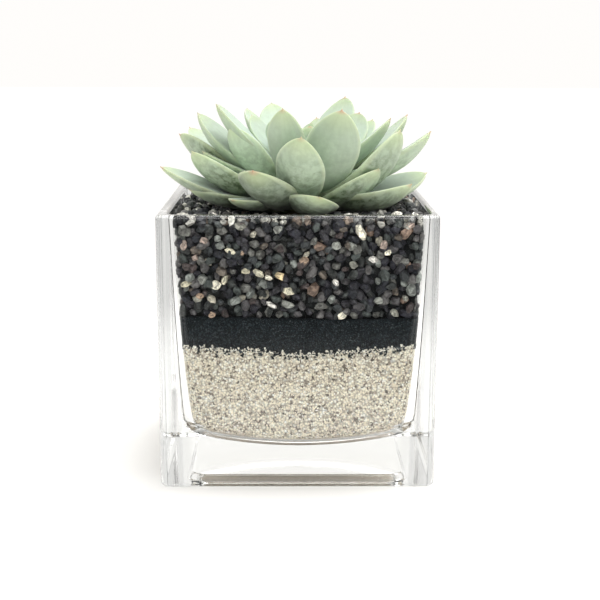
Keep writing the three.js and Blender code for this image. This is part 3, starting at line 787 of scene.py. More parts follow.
# Floor ranges: a darker dusty floor with painted shade under the vase, a painted contact shadow round the
# foot, and a glow away from the vase that leaves painted shade near it
UNDER_VASE = (0.0415, 0.0445)
CONTACT_SHADE = (0.0478, 0.0486, 0.7, 1.0)
FLOOR_GLOW_RANGE = (0.0476, 0.068, 0.0, 0.12)
NEAR_CARD = (-0.22, -0.11, 1.0, 0.0)
CARD_SHADE = shade(40, 40, 42)
FAR_GROUND = (0.14, 0.34)


def floor_material(colour):
    """Matt white sweep that fades into the room and shows the glass a dark card. Under the vase it is dusty
    and darker with painted shade, a painted contact shadow rings the foot, and it glows a little away from
    the vase but not near it.
    """
    material, tree = new_material("studio_sweep")
    place = object_place(tree)
    parts = split(tree, place)
    reach = calc(tree, "MAXIMUM", calc(tree, "ABSOLUTE", parts["X"]), calc(tree, "ABSOLUTE", parts["Y"]))
    paler = tuple(min(1.0, c * 1.02) for c in colour[:3]) + (1.0,)
    plain = blend(tree, cloud(tree, place, 4.0, detail=2.0), colour, paler)
    # Painted contact shadow round the foot of the vase
    ground = darken(tree, plain, spread(tree, reach, *CONTACT_SHADE))
    # Sandy dust under the vase, darker also as painted shade
    dust_and_shade = ramp(tree, cloud(tree, place, 900.0, detail=2.0), FOOT_DUST_AND_SHADE_STOPS)
    # The floor glows a little away from the vase and not near it, which leaves painted shade round its foot
    body = add(tree, "ShaderNodeBsdfPrincipled", {
        "Base Color": blend(tree, spread(tree, reach, *UNDER_VASE), dust_and_shade, ground), "Roughness": 0.8,
        "Specular IOR Level": 0.1, "Emission Color": colour,
        "Emission Strength": spread(tree, reach, *FLOOR_GLOW_RANGE),
    })
    path = add(tree, "ShaderNodeLightPath").outputs
    mirrored = calc(tree, "MAXIMUM", path["Is Glossy Ray"], path["Is Transmission Ray"])
    card_share = times(tree, spread(tree, parts["Y"], *NEAR_CARD), mirrored)
    card = add(tree, "ShaderNodeBsdfDiffuse", {"Color": CARD_SHADE})
    carded = mix_shaders(tree, card_share, body, card)
    distance = add(tree, "ShaderNodeVectorMath", {0: place}, operation="LENGTH").outputs["Value"]
    strength = plus(tree, times(tree, path["Is Camera Ray"], 0.05), 1.0)
    backdrop = add(tree, "ShaderNodeEmission", {"Color": ROOM_COLOUR, "Strength": strength})
    far = calc(tree, "SUBTRACT", spread(tree, distance, *FAR_GROUND), path["Is Diffuse Ray"], True)
    return shown(material, mix_shaders(tree, times(tree, far, less(tree, 1.0, card_share)), carded, backdrop))


# Loose stones and grains

# Corners of a stone keep at least this far apart, divided by the root of their number
CORNER_APART = 1.9


def cut_stone(name, seed, corners, flatness):
    """A broken stone: flat faces between corners that are spread over a slightly flattened ball."""
    draw = random.Random(seed)
    corner_points = []
    while len(corner_points) < corners:
        way = Vector([draw.gauss(0, 1) for _ in range(3)]).normalized()
        if all((way - other).length > CORNER_APART / math.sqrt(corners) for other in corner_points):
            corner_points.append(way)
    stretch = (draw.uniform(0.95, 1.3), draw.uniform(0.75, 1.0), flatness * draw.uniform(0.85, 1.15))
    form = bmesh.new()
    for point in corner_points:
        size = draw.uniform(0.86, 1.08)
        form.verts.new([value * size * by for value, by in zip(point, stretch)])
    hull = bmesh.ops.convex_hull(form, input=form.verts)
    bmesh.ops.delete(form, geom=list({*hull["geom_interior"], *hull["geom_unused"]}), context="VERTS")
    bmesh.ops.recalc_face_normals(form, faces=form.faces)
    mesh = bpy.data.meshes.new(name)
    form.to_mesh(mesh)
    form.free()
    return bpy.data.objects.new(name, mesh)


def scatter_tree():
    """Geometry nodes: points spread evenly over a sheet, each given one of a collection's stones."""
    tree = bpy.data.node_groups.new("scatter_stones", "GeometryNodeTree")
    add_sockets(tree, "INPUT", (
        ("Sheet", "Geometry", None), ("Spacing", "Float", 0.0033), ("Density", "Float", 300000.0),
        ("Least size", "Float", 0.0012), ("Most size", "Float", 0.0021), ("Sink", "Float", 0.001),
        ("Tilt", "Float", 0.6), ("Least stretch", "Float", 0.8), ("Seed", "Int", 1),
        ("Stones", "Collection", None), ("Finish", "Material", None),
    ))
    add_sockets(tree, "OUTPUT", (("Stones made", "Geometry", None),))
    given = add(tree, "NodeGroupInput").outputs
    sockets = {"FLOAT_VECTOR": (0, 0), "FLOAT": (2, 1), "INT": (4, 2)}

    def drawn(kind, low, high, shift):
        """A random value for each stone, with the seed moved by a fixed step."""
        first, output = sockets[kind]
        inputs = {first: low, first + 1: high, "Seed": plus(tree, given["Seed"], float(shift))}
        return add(tree, "FunctionNodeRandomValue", inputs, data_type=kind).outputs[output]

    dots = add(tree, "GeometryNodeDistributePointsOnFaces", {
        "Mesh": given["Sheet"], "Distance Min": given["Spacing"], "Density Max": given["Density"],
        "Seed": given["Seed"],
    }, distribute_method="POISSON").outputs
    back = times(tree, given["Tilt"], -1.0)
    low = add(tree, "ShaderNodeCombineXYZ", {0: back, 1: back, 2: 0.0}).outputs[0]
    high = add(tree, "ShaderNodeCombineXYZ", {0: given["Tilt"], 1: given["Tilt"], 2: 2 * math.pi}).outputs[0]
    local = add(tree, "FunctionNodeEulerToRotation", {0: drawn("FLOAT_VECTOR", low, high, 1)}).outputs[0]
    turned = add(tree, "FunctionNodeRotateRotation", {
        "Rotation": dots["Rotation"], "Rotate By": local,
    }, rotation_space="LOCAL").outputs[0]
    size = drawn("FLOAT", given["Least size"], given["Most size"], 2)
    narrower = times(tree, size, drawn("FLOAT", given["Least stretch"], 1.0, 3))
    scale = add(tree, "ShaderNodeCombineXYZ", {0: size, 1: narrower, 2: size}).outputs[0]
    inward = add(tree, "ShaderNodeVectorMath", {
        0: dots["Normal"], "Scale": times(tree, drawn("FLOAT", 0.0, given["Sink"], 4), -1.0),
    }, operation="SCALE").outputs[0]
    sunk = add(tree, "GeometryNodeSetPosition", {"Geometry": dots["Points"], "Offset": inward})
    stones = add(tree, "GeometryNodeCollectionInfo", {
        "Collection": given["Stones"], "Separate Children": True, "Reset Children": True,
    })
    placed = add(tree, "GeometryNodeInstanceOnPoints", {
        "Points": sunk.outputs[0], "Instance": stones.outputs[0], "Pick Instance": True,
        "Instance Index": drawn("INT", 0, 99, 5), "Rotation": turned, "Scale": scale,
    })
    toned = add(tree, "GeometryNodeStoreNamedAttribute", {
        "Geometry": placed.outputs[0], "Name": "tone", "Value": drawn("FLOAT", 0.0, 1.0, 6),
    }, data_type="FLOAT", domain="INSTANCE")
    real = add(tree, "GeometryNodeRealizeInstances", {"Geometry": toned.outputs[0]})
    final = add(tree, "GeometryNodeSetMaterial", {"Geometry": real.outputs[0], "Material": given["Finish"]})
    add(tree, "NodeGroupOutput", {0: final.outputs[0]})
    return tree


def stone_collection(name, seed, count, corners, flatness):
    """A collection of cut stones that a scatter picks from."""
    collection = bpy.data.collections.new(name)
    for index in range(count):
        collection.objects.link(cut_stone(f"{name}_{index}", seed + index, corners, flatness))
    return collection


def drop_collection(collection):
    """Removes the stones that a scatter copied."""
    for stone in list(collection.objects):
        drop_piece(stone)
    bpy.data.collections.remove(collection)


def drop_piece(piece):
    """Removes an object and its mesh."""
    mesh = piece.data
    bpy.data.objects.remove(piece)
    bpy.data.meshes.remove(mesh)


def scatter(name, sheet, stones, finish, spacing, sizes, **values):
    """Runs the scatter on a sheet, removes the sheet and returns the result as a plain mesh piece."""
    tree = bpy.data.node_groups.get("scatter_stones") or scatter_tree()
    modifier = sheet.modifiers.new("scatter", "NODES")
    modifier.node_group = tree
    wanted = {
        "Stones": stones, "Finish": finish, "Spacing": spacing,
        "Least size": sizes[0], "Most size": sizes[1], **values,
    }
    for item in tree.interface.items_tree:
        if item.in_out == "INPUT" and item.name in wanted:
            modifier[item.identifier] = wanted[item.name]
    view = bpy.context.evaluated_depsgraph_get()
    seen = sheet.evaluated_get(view)
    mesh = bpy.data.meshes.new_from_object(seen, preserve_all_data_layers=True, depsgraph=view)
    sheet.modifiers.remove(modifier)
    drop_piece(sheet)
    mesh.name = name
    piece = bpy.data.objects.new(name, mesh)
    bpy.context.scene.collection.objects.link(piece)
    return piece


def finish_loose(name, parts, solid, clearance):
    """Joins strewn parts, keeps them inside the glass and finishes them as one piece."""
    bpy.ops.object.select_all(action="DESELECT")
    for part in parts:
        part.select_set(True)
    bpy.context.view_layer.objects.active = parts[0]
    bpy.ops.object.join()
    piece = bpy.context.object
    piece.name = piece.data.name = name
    bpy.ops.object.select_all(action="DESELECT")
    flat = np.zeros(len(piece.data.vertices) * 3, np.float32)
    piece.data.vertices.foreach_get("co", flat)
    points = keep_inside(flat.reshape(-1, 3).astype(float) / MM, clearance)
    piece.data.vertices.foreach_set("co", (points * MM).astype(np.float32).ravel())
    piece.data.update()
    finish_piece(piece, [solid])


# Layers

def corner_rise(places, height):
    """Sand lies higher towards the corners of the vase."""
    return height * (np.abs(places[:, 0] * places[:, 1]) / CORNER_SPAN ** 2) ** 1.5


def tan_surface(places):
    """Height of the tan sand's top."""
    x, y = places[:, 0], places[:, 1]
    waves = 0.35 * np.sin(0.085 * x + 0.6) * np.cos(0.06 * y) + 0.25 * np.sin(0.19 * x - 0.11 * y)
    return TAN_TOP + corner_rise(places, TAN_CORNER_RISE) + waves


def border_ripple(places):
    """How far the border of the two sands wanders up and down along the glass, in millimetres."""
    x, y = places[:, 0], places[:, 1]
    slow = np.sin(1.9 * x + 1.3 * np.sin(0.8 * x) - 2.1 * y + 1.2 * np.sin(0.7 * y))
    return 0.62 * slow + 0.5 * np.sin(3.9 * x + 3.7 * y + 0.8)


def tan_crest(places):
    """How high tan grains stray into the black sand."""
    return tan_surface(places) + 0.05 + 1.5 * np.maximum(border_ripple(places), 0)


def tan_notch(places):
    """How low black grains stray into the tan sand."""
    return tan_surface(places) - 0.1 + 2.8 * np.minimum(border_ripple(places), 0)


def black_surface(places):
    """Height of the black sand's top."""
    x, y = places[:, 0], places[:, 1]
    waves = 0.3 * np.sin(0.07 * x + 2.1) + 0.25 * np.cos(0.12 * y + 0.05 * x)
    return BLACK_TOP + corner_rise(places, BLACK_CORNER_RISE) + waves


def gravel_surface(places):
    """Height of the gravel's top, which dips round the plant."""
    return GRAVEL_TOP - GRAVEL_DIP * np.exp(-(places ** 2).sum(axis=1) / GRAVEL_DIP_RADIUS ** 2)


def shifted(surface, by):
    """A surface moved up by a distance."""
    return lambda places: surface(places) + by


def cap_rings(edge, surface, count):
    """Rings over a surface, from its edge ring to the middle."""
    rings = []
    for k in range(count, 0, -1):
        places = edge[:, :2] * k / (count + 1)
        rings.append(np.column_stack((places, surface(places))))
    return rings


def layer_rings(low, high, clearance, weights, wall_steps):
    """Rings up the wall between two surfaces; with no low surface they start on the floor."""
    half, corner = wall_size(np.full(len(weights[0]), BLACK_TOP))
    places = outline(half - clearance, corner, weights)
    if low is None:
        foot, start = wall_foot(clearance, weights), floor_rings(clearance, weights)
    else:
        foot, start = low(places), []
    return start + wall_rings(foot, high(places), clearance, weights, wall_steps)


def layer(name, low, high, clearance, wall_steps, cap_count):
    """A closed body that fills the vase between two surfaces, with a clearance to the wall."""
    weights = ring_weights(LAYER_CORNER_STEPS, LAYER_SIDE_STEPS)
    rings = layer_rings(low, high, clearance, weights, wall_steps)
    if low is not None:
        rings = list(reversed(cap_rings(rings[0], low, cap_count))) + rings
    rings += cap_rings(rings[-1], high, cap_count)
    return make_piece(name, np.concatenate(rings), skin_faces(len(rings), len(rings[0])))


def wall_sheet(name, low, high, inset, steps=12, side_steps=16):
    """An open sheet along the inside of the vase, facing out, that a scatter spreads grains on."""
    rings = layer_rings(low, high, inset, ring_weights(LAYER_CORNER_STEPS, side_steps), steps)
    return make_piece(name, np.concatenate(rings), skin_faces(len(rings), len(rings[0]), False, False))


def top_sheet(name, surface, half, steps=24):
    """An open sheet over a layer's top, facing up."""
    line = np.linspace(-half, half, steps + 1)
    places = np.array([(x, y) for y in line for x in line])
    faces = []
    for j in range(steps):
        for i in range(steps):
            a = j * (steps + 1) + i
            faces.append((a, a + 1, a + steps + 2, a + steps + 1))
    return make_piece(name, np.column_stack((places, surface(places))), faces)


def make_tan_sand(settings):
    """The lowest layer: its bed, the grains against the glass and those that stray upwards."""
    finish = grain_material(
        "tan_grains", TAN_STOPS, scale=2600.0, contrast=0.16, roughness=0.7, lift=0.3, painted_facet_light=0.9, damp=True,
    )
    packed = bed_material("tan_bed", TAN_STOPS, grain=1150.0, roughness=0.9, gap_shade=0.5)
    bed = layer("tan_sand_bed", None, tan_surface, clearance=0.75, wall_steps=18, cap_count=4)
    finish_piece(bed, ["tan_sand"], packed)
    stones = stone_collection("tan_grain", TAN_SEED, count=12, corners=8, flatness=0.72)
    width = settings.tan_grain
    sheet = wall_sheet("tan_wall", None, tan_surface, inset=0.74, steps=20)
    parts = [scatter(
        "tan_scatter_0", sheet, stones, finish, width * 0.85, (width * 0.42, width * 0.68),
        Density=3.0e6, Sink=0.0002, Tilt=ANY_WAY, Seed=settings.seed,
    )]
    border = wall_sheet("tan_border", shifted(tan_surface, -0.5), tan_crest, 0.34, 4, BORDER_STEPS)
    parts.append(scatter(
        "tan_strays", border, stones, finish, width * 0.5, (width * 0.42, width * 0.7),
        Density=9.0e6, Sink=0.0001, Tilt=ANY_WAY, Seed=settings.seed + 5,
    ))
    finish_loose("tan_sand_grains", parts, "tan_sand", clearance=0.06)
    drop_collection(stones)


def make_black_sand(settings):
    """The thin dark band: its bed, the grains against the glass and those that stray downwards."""
    finish = grain_material(
        "black_grains", BLACK_STOPS, scale=3000.0, contrast=0.3, roughness=0.5, lift=0.3, shine=0.12,
    )
    packed = bed_material("black_bed", BLACK_STOPS, grain=2200.0, roughness=0.7)
    bed = layer(
        "black_sand_bed", shifted(tan_surface, 0.05), black_surface, clearance=0.5, wall_steps=8, cap_count=4,
    )
    finish_piece(bed, ["black_sand"], packed)
    stones = stone_collection("black_grain", BLACK_SEED, count=6, corners=8, flatness=0.75)
    width = settings.black_grain
    sheet = wall_sheet("black_wall", shifted(tan_surface, -0.2), black_surface, inset=0.46, steps=8)
    parts = [scatter(
        "black_sand_grains", sheet, stones, finish, width * 1.25, (width * 0.4, width * 0.75),
        Density=6.0e6, Sink=0.00015, Tilt=ANY_WAY, Seed=settings.seed + 7,
    )]
    border = wall_sheet("black_border", tan_notch, shifted(tan_surface, 0.1), 0.26, 4, BORDER_STEPS)
    parts.append(scatter(
        "black_strays", border, stones, finish, width * 1.5, (width * 1.0, width * 1.9),
        Density=8.0e6, Sink=0.0001, Tilt=ANY_WAY, Seed=settings.seed + 9,
    ))
    finish_loose("black_sand_grains", parts, "black_sand", clearance=0.06)
    drop_collection(stones)


def front_stones(stones, finish):
    """The stones of the list, each a copy of one of the cut stones."""
    made = []
    for index, (across, height, length, width, turn, shade_name) in enumerate(FRONT_STONES):
        pattern = stones.objects[index % len(stones.objects)]
        points = np.array([v.co for v in pattern.data.vertices])
        points /= np.abs(points).max(axis=0)
        points *= (length / 2, width / 2, width * 0.3)
        angle = math.radians(turn)
        level = points[:, 0] * math.cos(angle) + points[:, 1] * math.sin(angle)
        rise = points[:, 1] * math.cos(angle) - points[:, 0] * math.sin(angle)
        half = wall_size(height)[0]
        placed = np.column_stack((level + across, points[:, 2] - half + width * 0.3 + 0.1, rise + height))
        faces = [tuple(face.vertices) for face in pattern.data.polygons]
        stone = make_piece(f"front_stone_{index}", placed, faces, smooth=False)
        stone.data.materials.append(finish)
        marks = stone.data.attributes
        colour = GRAIN_SHADES[shade_name] * len(points)
        marks.new("chosen_shade", "FLOAT_COLOR", "POINT").data.foreach_set("color", colour)
        for name, value in (("tone", index / len(FRONT_STONES)), ("chosen", 1.0)):
            marks.new(name, "FLOAT", "POINT").data.foreach_set("value", [value] * len(points))
        made.append(stone)
    return made


def make_gravel(settings):
    """The gravel: its bed, two depths of stones against the glass and two over the top."""
    common = {"scale": 1300.0, "contrast": 0.85, "roughness": 0.42, "lift": 0.7, "shine": 0.45}
    finish = grain_material("gravel_stone", STONE_STOPS, painted_facet_light=0.56, **common)
    # A lit copy of the stone material for the top stones, with painted light
    lit = grain_material("gravel_top_stone", LIT_TOP_STONE_STOPS, painted_facet_light=0.5, **common)
    # The gravel bed is a dark body of painted shade that shows between and behind the stones
    shadow = bed_material("gravel_shade", SHADOW_STOPS, grain=420.0, roughness=0.9)
    high = shifted(gravel_surface, -2.6)
    bed = layer("gravel_bed", shifted(black_surface, 0.1), high, clearance=3.0, wall_steps=14, cap_count=8)
    finish_piece(bed, ["gravel"], shadow)
    stones = stone_collection("pebble", PEBBLE_SEED, count=16, corners=20, flatness=0.72)
    size = settings.stone_size
    walls = []
    for index, (inset, spacing, tilt) in enumerate(((1.4, 0.64, 0.5), (2.9, 0.78, 0.9))):
        sheet = wall_sheet("gravel_wall", shifted(black_surface, 1.2), high, inset, steps=16)
        walls.append(scatter(
            f"gravel_scatter_{index}", sheet, stones, finish, size * spacing, (size * 0.36, size * 0.64),
            Density=3.0e5, Sink=0.0008, Tilt=tilt, Seed=settings.seed + 20 + index,
        ))
    walls += front_stones(stones, finish)
    finish_loose("gravel_wall_stones", walls, "gravel", clearance=0.08)
    tops = []
    for index, (drop, spacing) in enumerate(((0.9, 0.8), (2.0, 0.9))):
        sheet = top_sheet("gravel_top", shifted(gravel_surface, -drop), MOUTH_HALF - 1.6)
        tops.append(scatter(
            f"gravel_top_{index}", sheet, stones, lit, size * spacing, (size * 0.36, size * 0.58),
            Density=3.0e5, Sink=0.0004, Tilt=0.7, Seed=settings.seed + 30 + index,
        ))
    finish_loose("gravel_top_stones", tops, "gravel", clearance=0.08)
    drop_collection(stones)


# Vase

def quarter_round(steps):
    """Sine and cosine of angles from 0 to 90 degrees in even steps."""
    angles = [step / steps * math.pi / 2 for step in range(steps + 1)]
    return [(math.sin(angle), math.cos(angle)) for angle in angles]


def make_vase(settings):
    """The glass as one closed skin: recess, foot, outside, rim, inside wall and inside floor."""
    weights = ring_weights()
    count = len(weights[0])

    def level_ring(half, corner, z):
        return np.column_stack((outline(half, corner, weights), np.full(count, z)))

    rings = []
    for step in range(RECESS_STEPS + 1):
        share = step / RECESS_STEPS
        inset = RECESS_SLOPE * (1 - share)
        height = RECESS_DEPTH * (0.5 + 0.5 * math.cos(math.pi * share))
        rings.append(level_ring(RECESS_HALF - inset, RECESS_CORNER - inset, height))
    for sine, cosine in quarter_round(ROUND_STEPS):
        shrink = FOOT_ROUND * (1 - sine)
        rings.append(level_ring(VASE_HALF - shrink, FOOT_CORNER - shrink * 0.6, FOOT_ROUND * (1 - cosine)))
    for z in SIDE_HEIGHTS:
        share = (z - FOOT_ROUND) / (VASE_TOP - FOOT_ROUND)
        rings.append(level_ring(VASE_HALF, FOOT_CORNER + (VASE_CORNER - FOOT_CORNER) * share, z))
    for sine, cosine in quarter_round(ROUND_STEPS):
        shrink = RIM_ROUND * (1 - cosine)
        height = VASE_TOP - RIM_ROUND * (1 - sine)
        rings.append(level_ring(VASE_HALF - shrink, VASE_CORNER - shrink * 0.5, height))
    mouth_half, mouth_corner = wall_size(VASE_TOP - RIM_ROUND)
    for sine, cosine in quarter_round(LIP_STEPS):
        grow = RIM_ROUND * (1 - sine)
        ring = level_ring(mouth_half + grow, mouth_corner + grow * 0.5, VASE_TOP - RIM_ROUND * (1 - cosine))
        ring[:, :2] += CAVITY_SHIFT
        rings.append(ring)
    top = np.full(count, VASE_TOP - RIM_ROUND - LIP_DROP)
    rings += reversed(wall_rings(wall_foot(0, weights), top, 0, weights, steps=22))
    rings += reversed(floor_rings(0, weights, dish_rings=12, round_steps=10))
    vase = make_piece("vase_glass", np.concatenate(rings), skin_faces(len(rings), count))
    weigh_normals(vase)
    finish_piece(vase, ["glass_vase"], glass_material(tuple(settings.tint)))


def weigh_normals(piece):
    """Normals weighed by face area, so that broad flats stay flat beside their round edges."""
    mesh = piece.data
    normals = np.zeros((len(mesh.vertices), 3))
    for face in mesh.polygons:
        for corner in face.vertices:
            normals[corner] += np.array(face.normal) * face.area
    normals /= np.maximum(np.linalg.norm(normals, axis=1), 1e-12)[:, None]
    mesh.normals_split_custom_set_from_vertices(normals.tolist())


# Plant

def stem_radius(place):
    """The stem grows thinner towards its tip."""
    return STEM_RADIUS - STEM_TAPER * (place / LEAF_POSITIONS) ** 1.5


def leaf_width_at(u):
    """Share of a leaf's full width at a share of its length, with a short point at the tip."""
    if u < WIDEST_AT:
        return ROOT_SHARE + (1 - ROOT_SHARE) * math.sin(math.pi / 2 * u / WIDEST_AT) ** 0.8
    end = min(1.0, (u - WIDEST_AT) / (ROUND_END_AT - WIDEST_AT))
    rounded = max(0.0, 1 - end ** 2) ** 0.68
    point = POINT_SHARE * max(0.0, (1 - u) / POINT_LENGTH) ** 0.8 if u > 0.9 else 0.0
    return max(rounded, point)


def leaf_thickness_at(u):
    """Share of a leaf's full thickness at a share of its length."""
    if u < THICKEST_AT:
        return 0.42 + 0.58 * math.sin(math.pi / 2 * u / THICKEST_AT)
    return 1 - 0.62 * ((u - THICKEST_AT) / (1 - THICKEST_AT)) ** 2.2


def blade(shape, stations, sides, seed):
    """Points, faces, attributes and chart of one leaf, as a closed skin round its curved midline."""
    azimuth, rise, length, width, curl, roll, thickness, root_radius, root_z = shape
    turn = math.radians(azimuth)
    out = Vector((math.sin(turn), -math.cos(turn), 0))
    across = Vector((math.cos(turn), math.sin(turn), 0))
    up = Vector((0, 0, 1))
    centre = out * root_radius + up * root_z
    draw = random.Random(seed)
    phase, wave = draw.uniform(0, 6.28), draw.uniform(0.15, 0.4)
    rings, along_values, edge_values, outer_values, chart = [], [], [], [], []
    shares = [1 - (1 - i / stations) ** 1.35 for i in range(stations + 1)]
    for index, u in enumerate(shares):
        if index:
            before = shares[index - 1]
            pitch = math.radians(rise + curl * ((u + before) / 2 - 0.5))
            step = (u - before) * length
            centre = centre + out * step * math.cos(pitch) + up * step * math.sin(pitch)
        pitch = math.radians(rise + curl * (u - 0.5))
        rolled = Matrix.Rotation(math.radians(-roll), 3, out * math.cos(pitch) + up * math.sin(pitch))
        normal = rolled @ (out * -math.sin(pitch) + up * math.cos(pitch))
        side = rolled @ across
        share = leaf_width_at(u)
        half = max(width / 2 * share, LEAST_HALF_WIDTH)
        thick = max(thickness * leaf_thickness_at(u) * math.sqrt(min(1, share + 0.02)), LEAST_THICKNESS)
        for k in range(sides):
            angle = 2 * math.pi * k / sides
            cosine, sine = math.cos(angle), math.sin(angle)
            upper = UPPER_SHARE if sine > 0 else 1 - UPPER_SHARE
            lens = math.copysign(abs(sine) ** 1.15, sine)
            keel = 0.06 * thick * max(0.0, -sine) ** 6
            ripple = wave * half / 10 * math.sin(5 * u + phase) * cosine
            cup = LEAF_CUP * half * (cosine ** 2 - 0.5)
            raised = upper * thick * lens + cup - keel + ripple * 0.6
            rings.append(centre + side * half * cosine + normal * raised)
            along_values.append(u)
            edge_values.append(abs(cosine))
            outer_values.append(1.0 if sine < -0.02 else 0.0 if sine > 0.02 else 0.5)
            chart.append((k / sides, u))
    faces = [tuple(reversed(face)) for face in skin_faces(len(shares), sides)]
    return rings, faces, (along_values, edge_values, outer_values), chart


def leaf_piece(name, blades, marks):
    """One piece of one or more blades, with the numbers that its material reads."""
    points, faces, chart = [], [], []
    values = {key: [] for key in LEAF_VALUES}
    for (rings, rows, numbers, places), mark in zip(blades, marks):
        start = len(points)
        points += [tuple(p) for p in rings]
        faces += [tuple(start + i for i in row) for row in rows]
        chart += places
        for key, number in zip(LEAF_VALUES, (*numbers, *([each] * len(rings) for each in mark))):
            values[key] += number
    piece = make_piece(name, points, faces)
    mesh = piece.data
    for key, numbers in values.items():
        mesh.attributes.new(key, "FLOAT", "POINT").data.foreach_set("value", numbers)
    layer_uv = mesh.uv_layers.new(name="leaf")
    for loop in mesh.loops:
        layer_uv.data[loop.index].uv = chart[loop.vertex_index]
    return piece


def make_leaves(settings):
    """The rosette: one piece for each leaf, and the heart."""
    finish = leaf_material(settings)
    draw = random.Random(settings.seed)
    for index, row in enumerate(LEAVES, start=1):
        place, lean, rise, length, width, curl, roll, thickness, lift = row
        shape = (
            FIRST_AZIMUTH - GOLDEN_ANGLE * place + lean, rise, length + ROOT_SINK, width, curl, roll,
            thickness, stem_radius(place) - ROOT_SINK, FIRST_LEAF_Z + LEAF_STEP * place + lift,
        )
        tone = place / LEAF_POSITIONS * 0.6 + draw.uniform(0, 0.4)
        blush = draw.uniform(0.25, 0.9)
        age = min(1.0, max(0.1, (YOUNG_FROM - place) / AGEING_PLACES))
        marks = (tone, blush, age, PAINTED_LEAF_LIGHT.get(index, 1.0))
        made = leaf_piece(f"blade_{index:02d}", [blade(shape, LEAF_STATIONS, LEAF_SIDES, place)], [marks])
        finish_piece(made, [f"leaf_{index:02d}"], finish)
    make_heart(finish)


def make_heart(finish):
    """The folded young leaves at the stem's tip, as one piece."""
    blades = []
    for i in range(HEART_LEAVES):
        share = i / (HEART_LEAVES - 1)
        rise, length, width, radius, root_z = (
            first + (last - first) * share
            for first, last in (HEART_RISES, HEART_LENGTHS, HEART_WIDTHS, HEART_RADII, HEART_ROOTS)
        )
        azimuth = FIRST_AZIMUTH - GOLDEN_ANGLE * (LEAF_POSITIONS + i)
        shape = (azimuth, rise, length, width, HEART_CURL, 0, HEART_THICKNESS, radius * 0.55, root_z)
        blades.append(blade(shape, HEART_STATIONS, HEART_SIDES, 100 + i))
    made = leaf_piece("heart_blades", blades, [HEART_MARKS] * HEART_LEAVES)
    finish_piece(made, ["heart"], finish)


def lathe(name, profile, sides, ripple):
    """A turned body with a slight ripple in its radius."""
    points = []
    for radius, z in profile:
        for k in range(sides):
            angle = 2 * math.pi * k / sides
            cosine, sine = math.cos(angle), math.sin(angle)
            dented = radius - abs(noise.noise(Vector((cosine, sine, z * 0.2))) * ripple)
            points.append((dented * cosine, dented * sine, z))
    return make_piece(name, points, skin_faces(len(profile), sides))


def make_roots():
    """The root ball and the stem, fitted to their CAD nodes."""
    low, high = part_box("root_ball")
    base, top, radius = low.z / MM, high.z / MM, high.x / MM
    profile = []
    for i in range(BALL_STEPS + 1):
        share = i / BALL_STEPS
        bulge = math.sin(math.pi * (0.12 + 0.76 * share)) ** 0.35
        profile.append((radius * 0.98 * bulge, base + (top - base) * share))
    ball = lathe("root_ball_soil", profile, sides=64, ripple=1.2)
    finish_piece(ball, ["root_ball"], soil_material())
    low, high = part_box("stem")
    foot, tip, widest = low.z / MM, high.z / MM, high.x / MM
    profile = []
    for i in range(STEM_STEPS + 1):
        z = foot + (tip - foot) * i / STEM_STEPS
        grow = min(1.0, (z - foot + 2) / 22) ** 0.6
        crown = 1 - 0.25 * max(0.0, (z - CROWN_Z) / (tip - CROWN_Z))
        scar = 0.96 + 0.04 * math.sin(z * 3.1)
        profile.append((widest * grow * crown * scar * 0.97, z))
    stem = lathe("stem_axis", profile, sides=40, ripple=0.3)
    finish_piece(stem, ["stem"], stem_material())


# Stage

def make_world(settings):
    """A soft room: dim where it lights the piece, and brighter where glass or the camera sees it."""
    world = bpy.data.worlds.new("soft_room")
    bpy.context.scene.world = world
    world.use_nodes = True
    tree = world.node_tree
    tree.nodes.clear()
    parts = split(tree, add(tree, "ShaderNodeTexCoord").outputs["Generated"])
    behind = spread(tree, parts["Y"], *ROOM_DEPTH, settings.room_dark, 1.0)
    sides = spread(tree, calc(tree, "ABSOLUTE", parts["X"]), *ROOM_SIDES, 1.0, settings.side_dark)
    overhead = spread(tree, parts["Z"], *ROOM_HEIGHT)
    level = times(tree, behind, sides, overhead)
    room = add(tree, "ShaderNodeBackground", {"Color": ROOM_COLOUR, "Strength": level})
    path = add(tree, "ShaderNodeLightPath").outputs
    mirrored = spread(tree, parts["Y"], *ROOM_DEPTH, settings.glass_dark, settings.glass_light)
    clear = calc(tree, "MAXIMUM", mirrored, path["Is Camera Ray"])
    seen = add(tree, "ShaderNodeBackground", {"Color": ROOM_COLOUR, "Strength": clear})
    both = mix_shaders(tree, path["Is Diffuse Ray"], seen, room)
    add(tree, "ShaderNodeOutputWorld", {"Surface": both.outputs[0]})


def make_stage(settings):
    """The floor, the room, two softboxes, the camera and how the picture is shown."""
    half = settings.floor_size / 2 / MM
    corners = [(x * half, y * half, FLOOR_DROP) for x, y in ((-1, -1), (1, -1), (1, 1), (-1, 1))]
    floor = make_piece("studio_floor", corners, [(0, 1, 2, 3)], smooth=False)
    floor.data.materials.append(floor_material(tuple(settings.floor_colour)))
    make_world(settings)
    scene = bpy.context.scene
    for name, place, size, share in SOFTBOXES:
        data = bpy.data.lights.new(name, "AREA")
        data.shape = "DISK"
        data.size = size
        data.energy = settings.key_power * share
        lamp = bpy.data.objects.new(name, data)
        scene.collection.objects.link(lamp)
        lamp.location = place
        aim = Vector(LAMP_AIM) - Vector(place)
        lamp.rotation_euler = aim.to_track_quat("-Z", "Y").to_euler()
    make_camera()
    scene.view_settings.view_transform = "Standard"
    scene.view_settings.look = "None"
    scene.cycles.max_bounces = GLASS_BOUNCES
    scene.cycles.transmission_bounces = GLASS_BOUNCES
    scene.cycles.transparent_max_bounces = GLASS_BOUNCES
    scene.cycles.glossy_bounces = 8
    scene.cycles.diffuse_bounces = 5


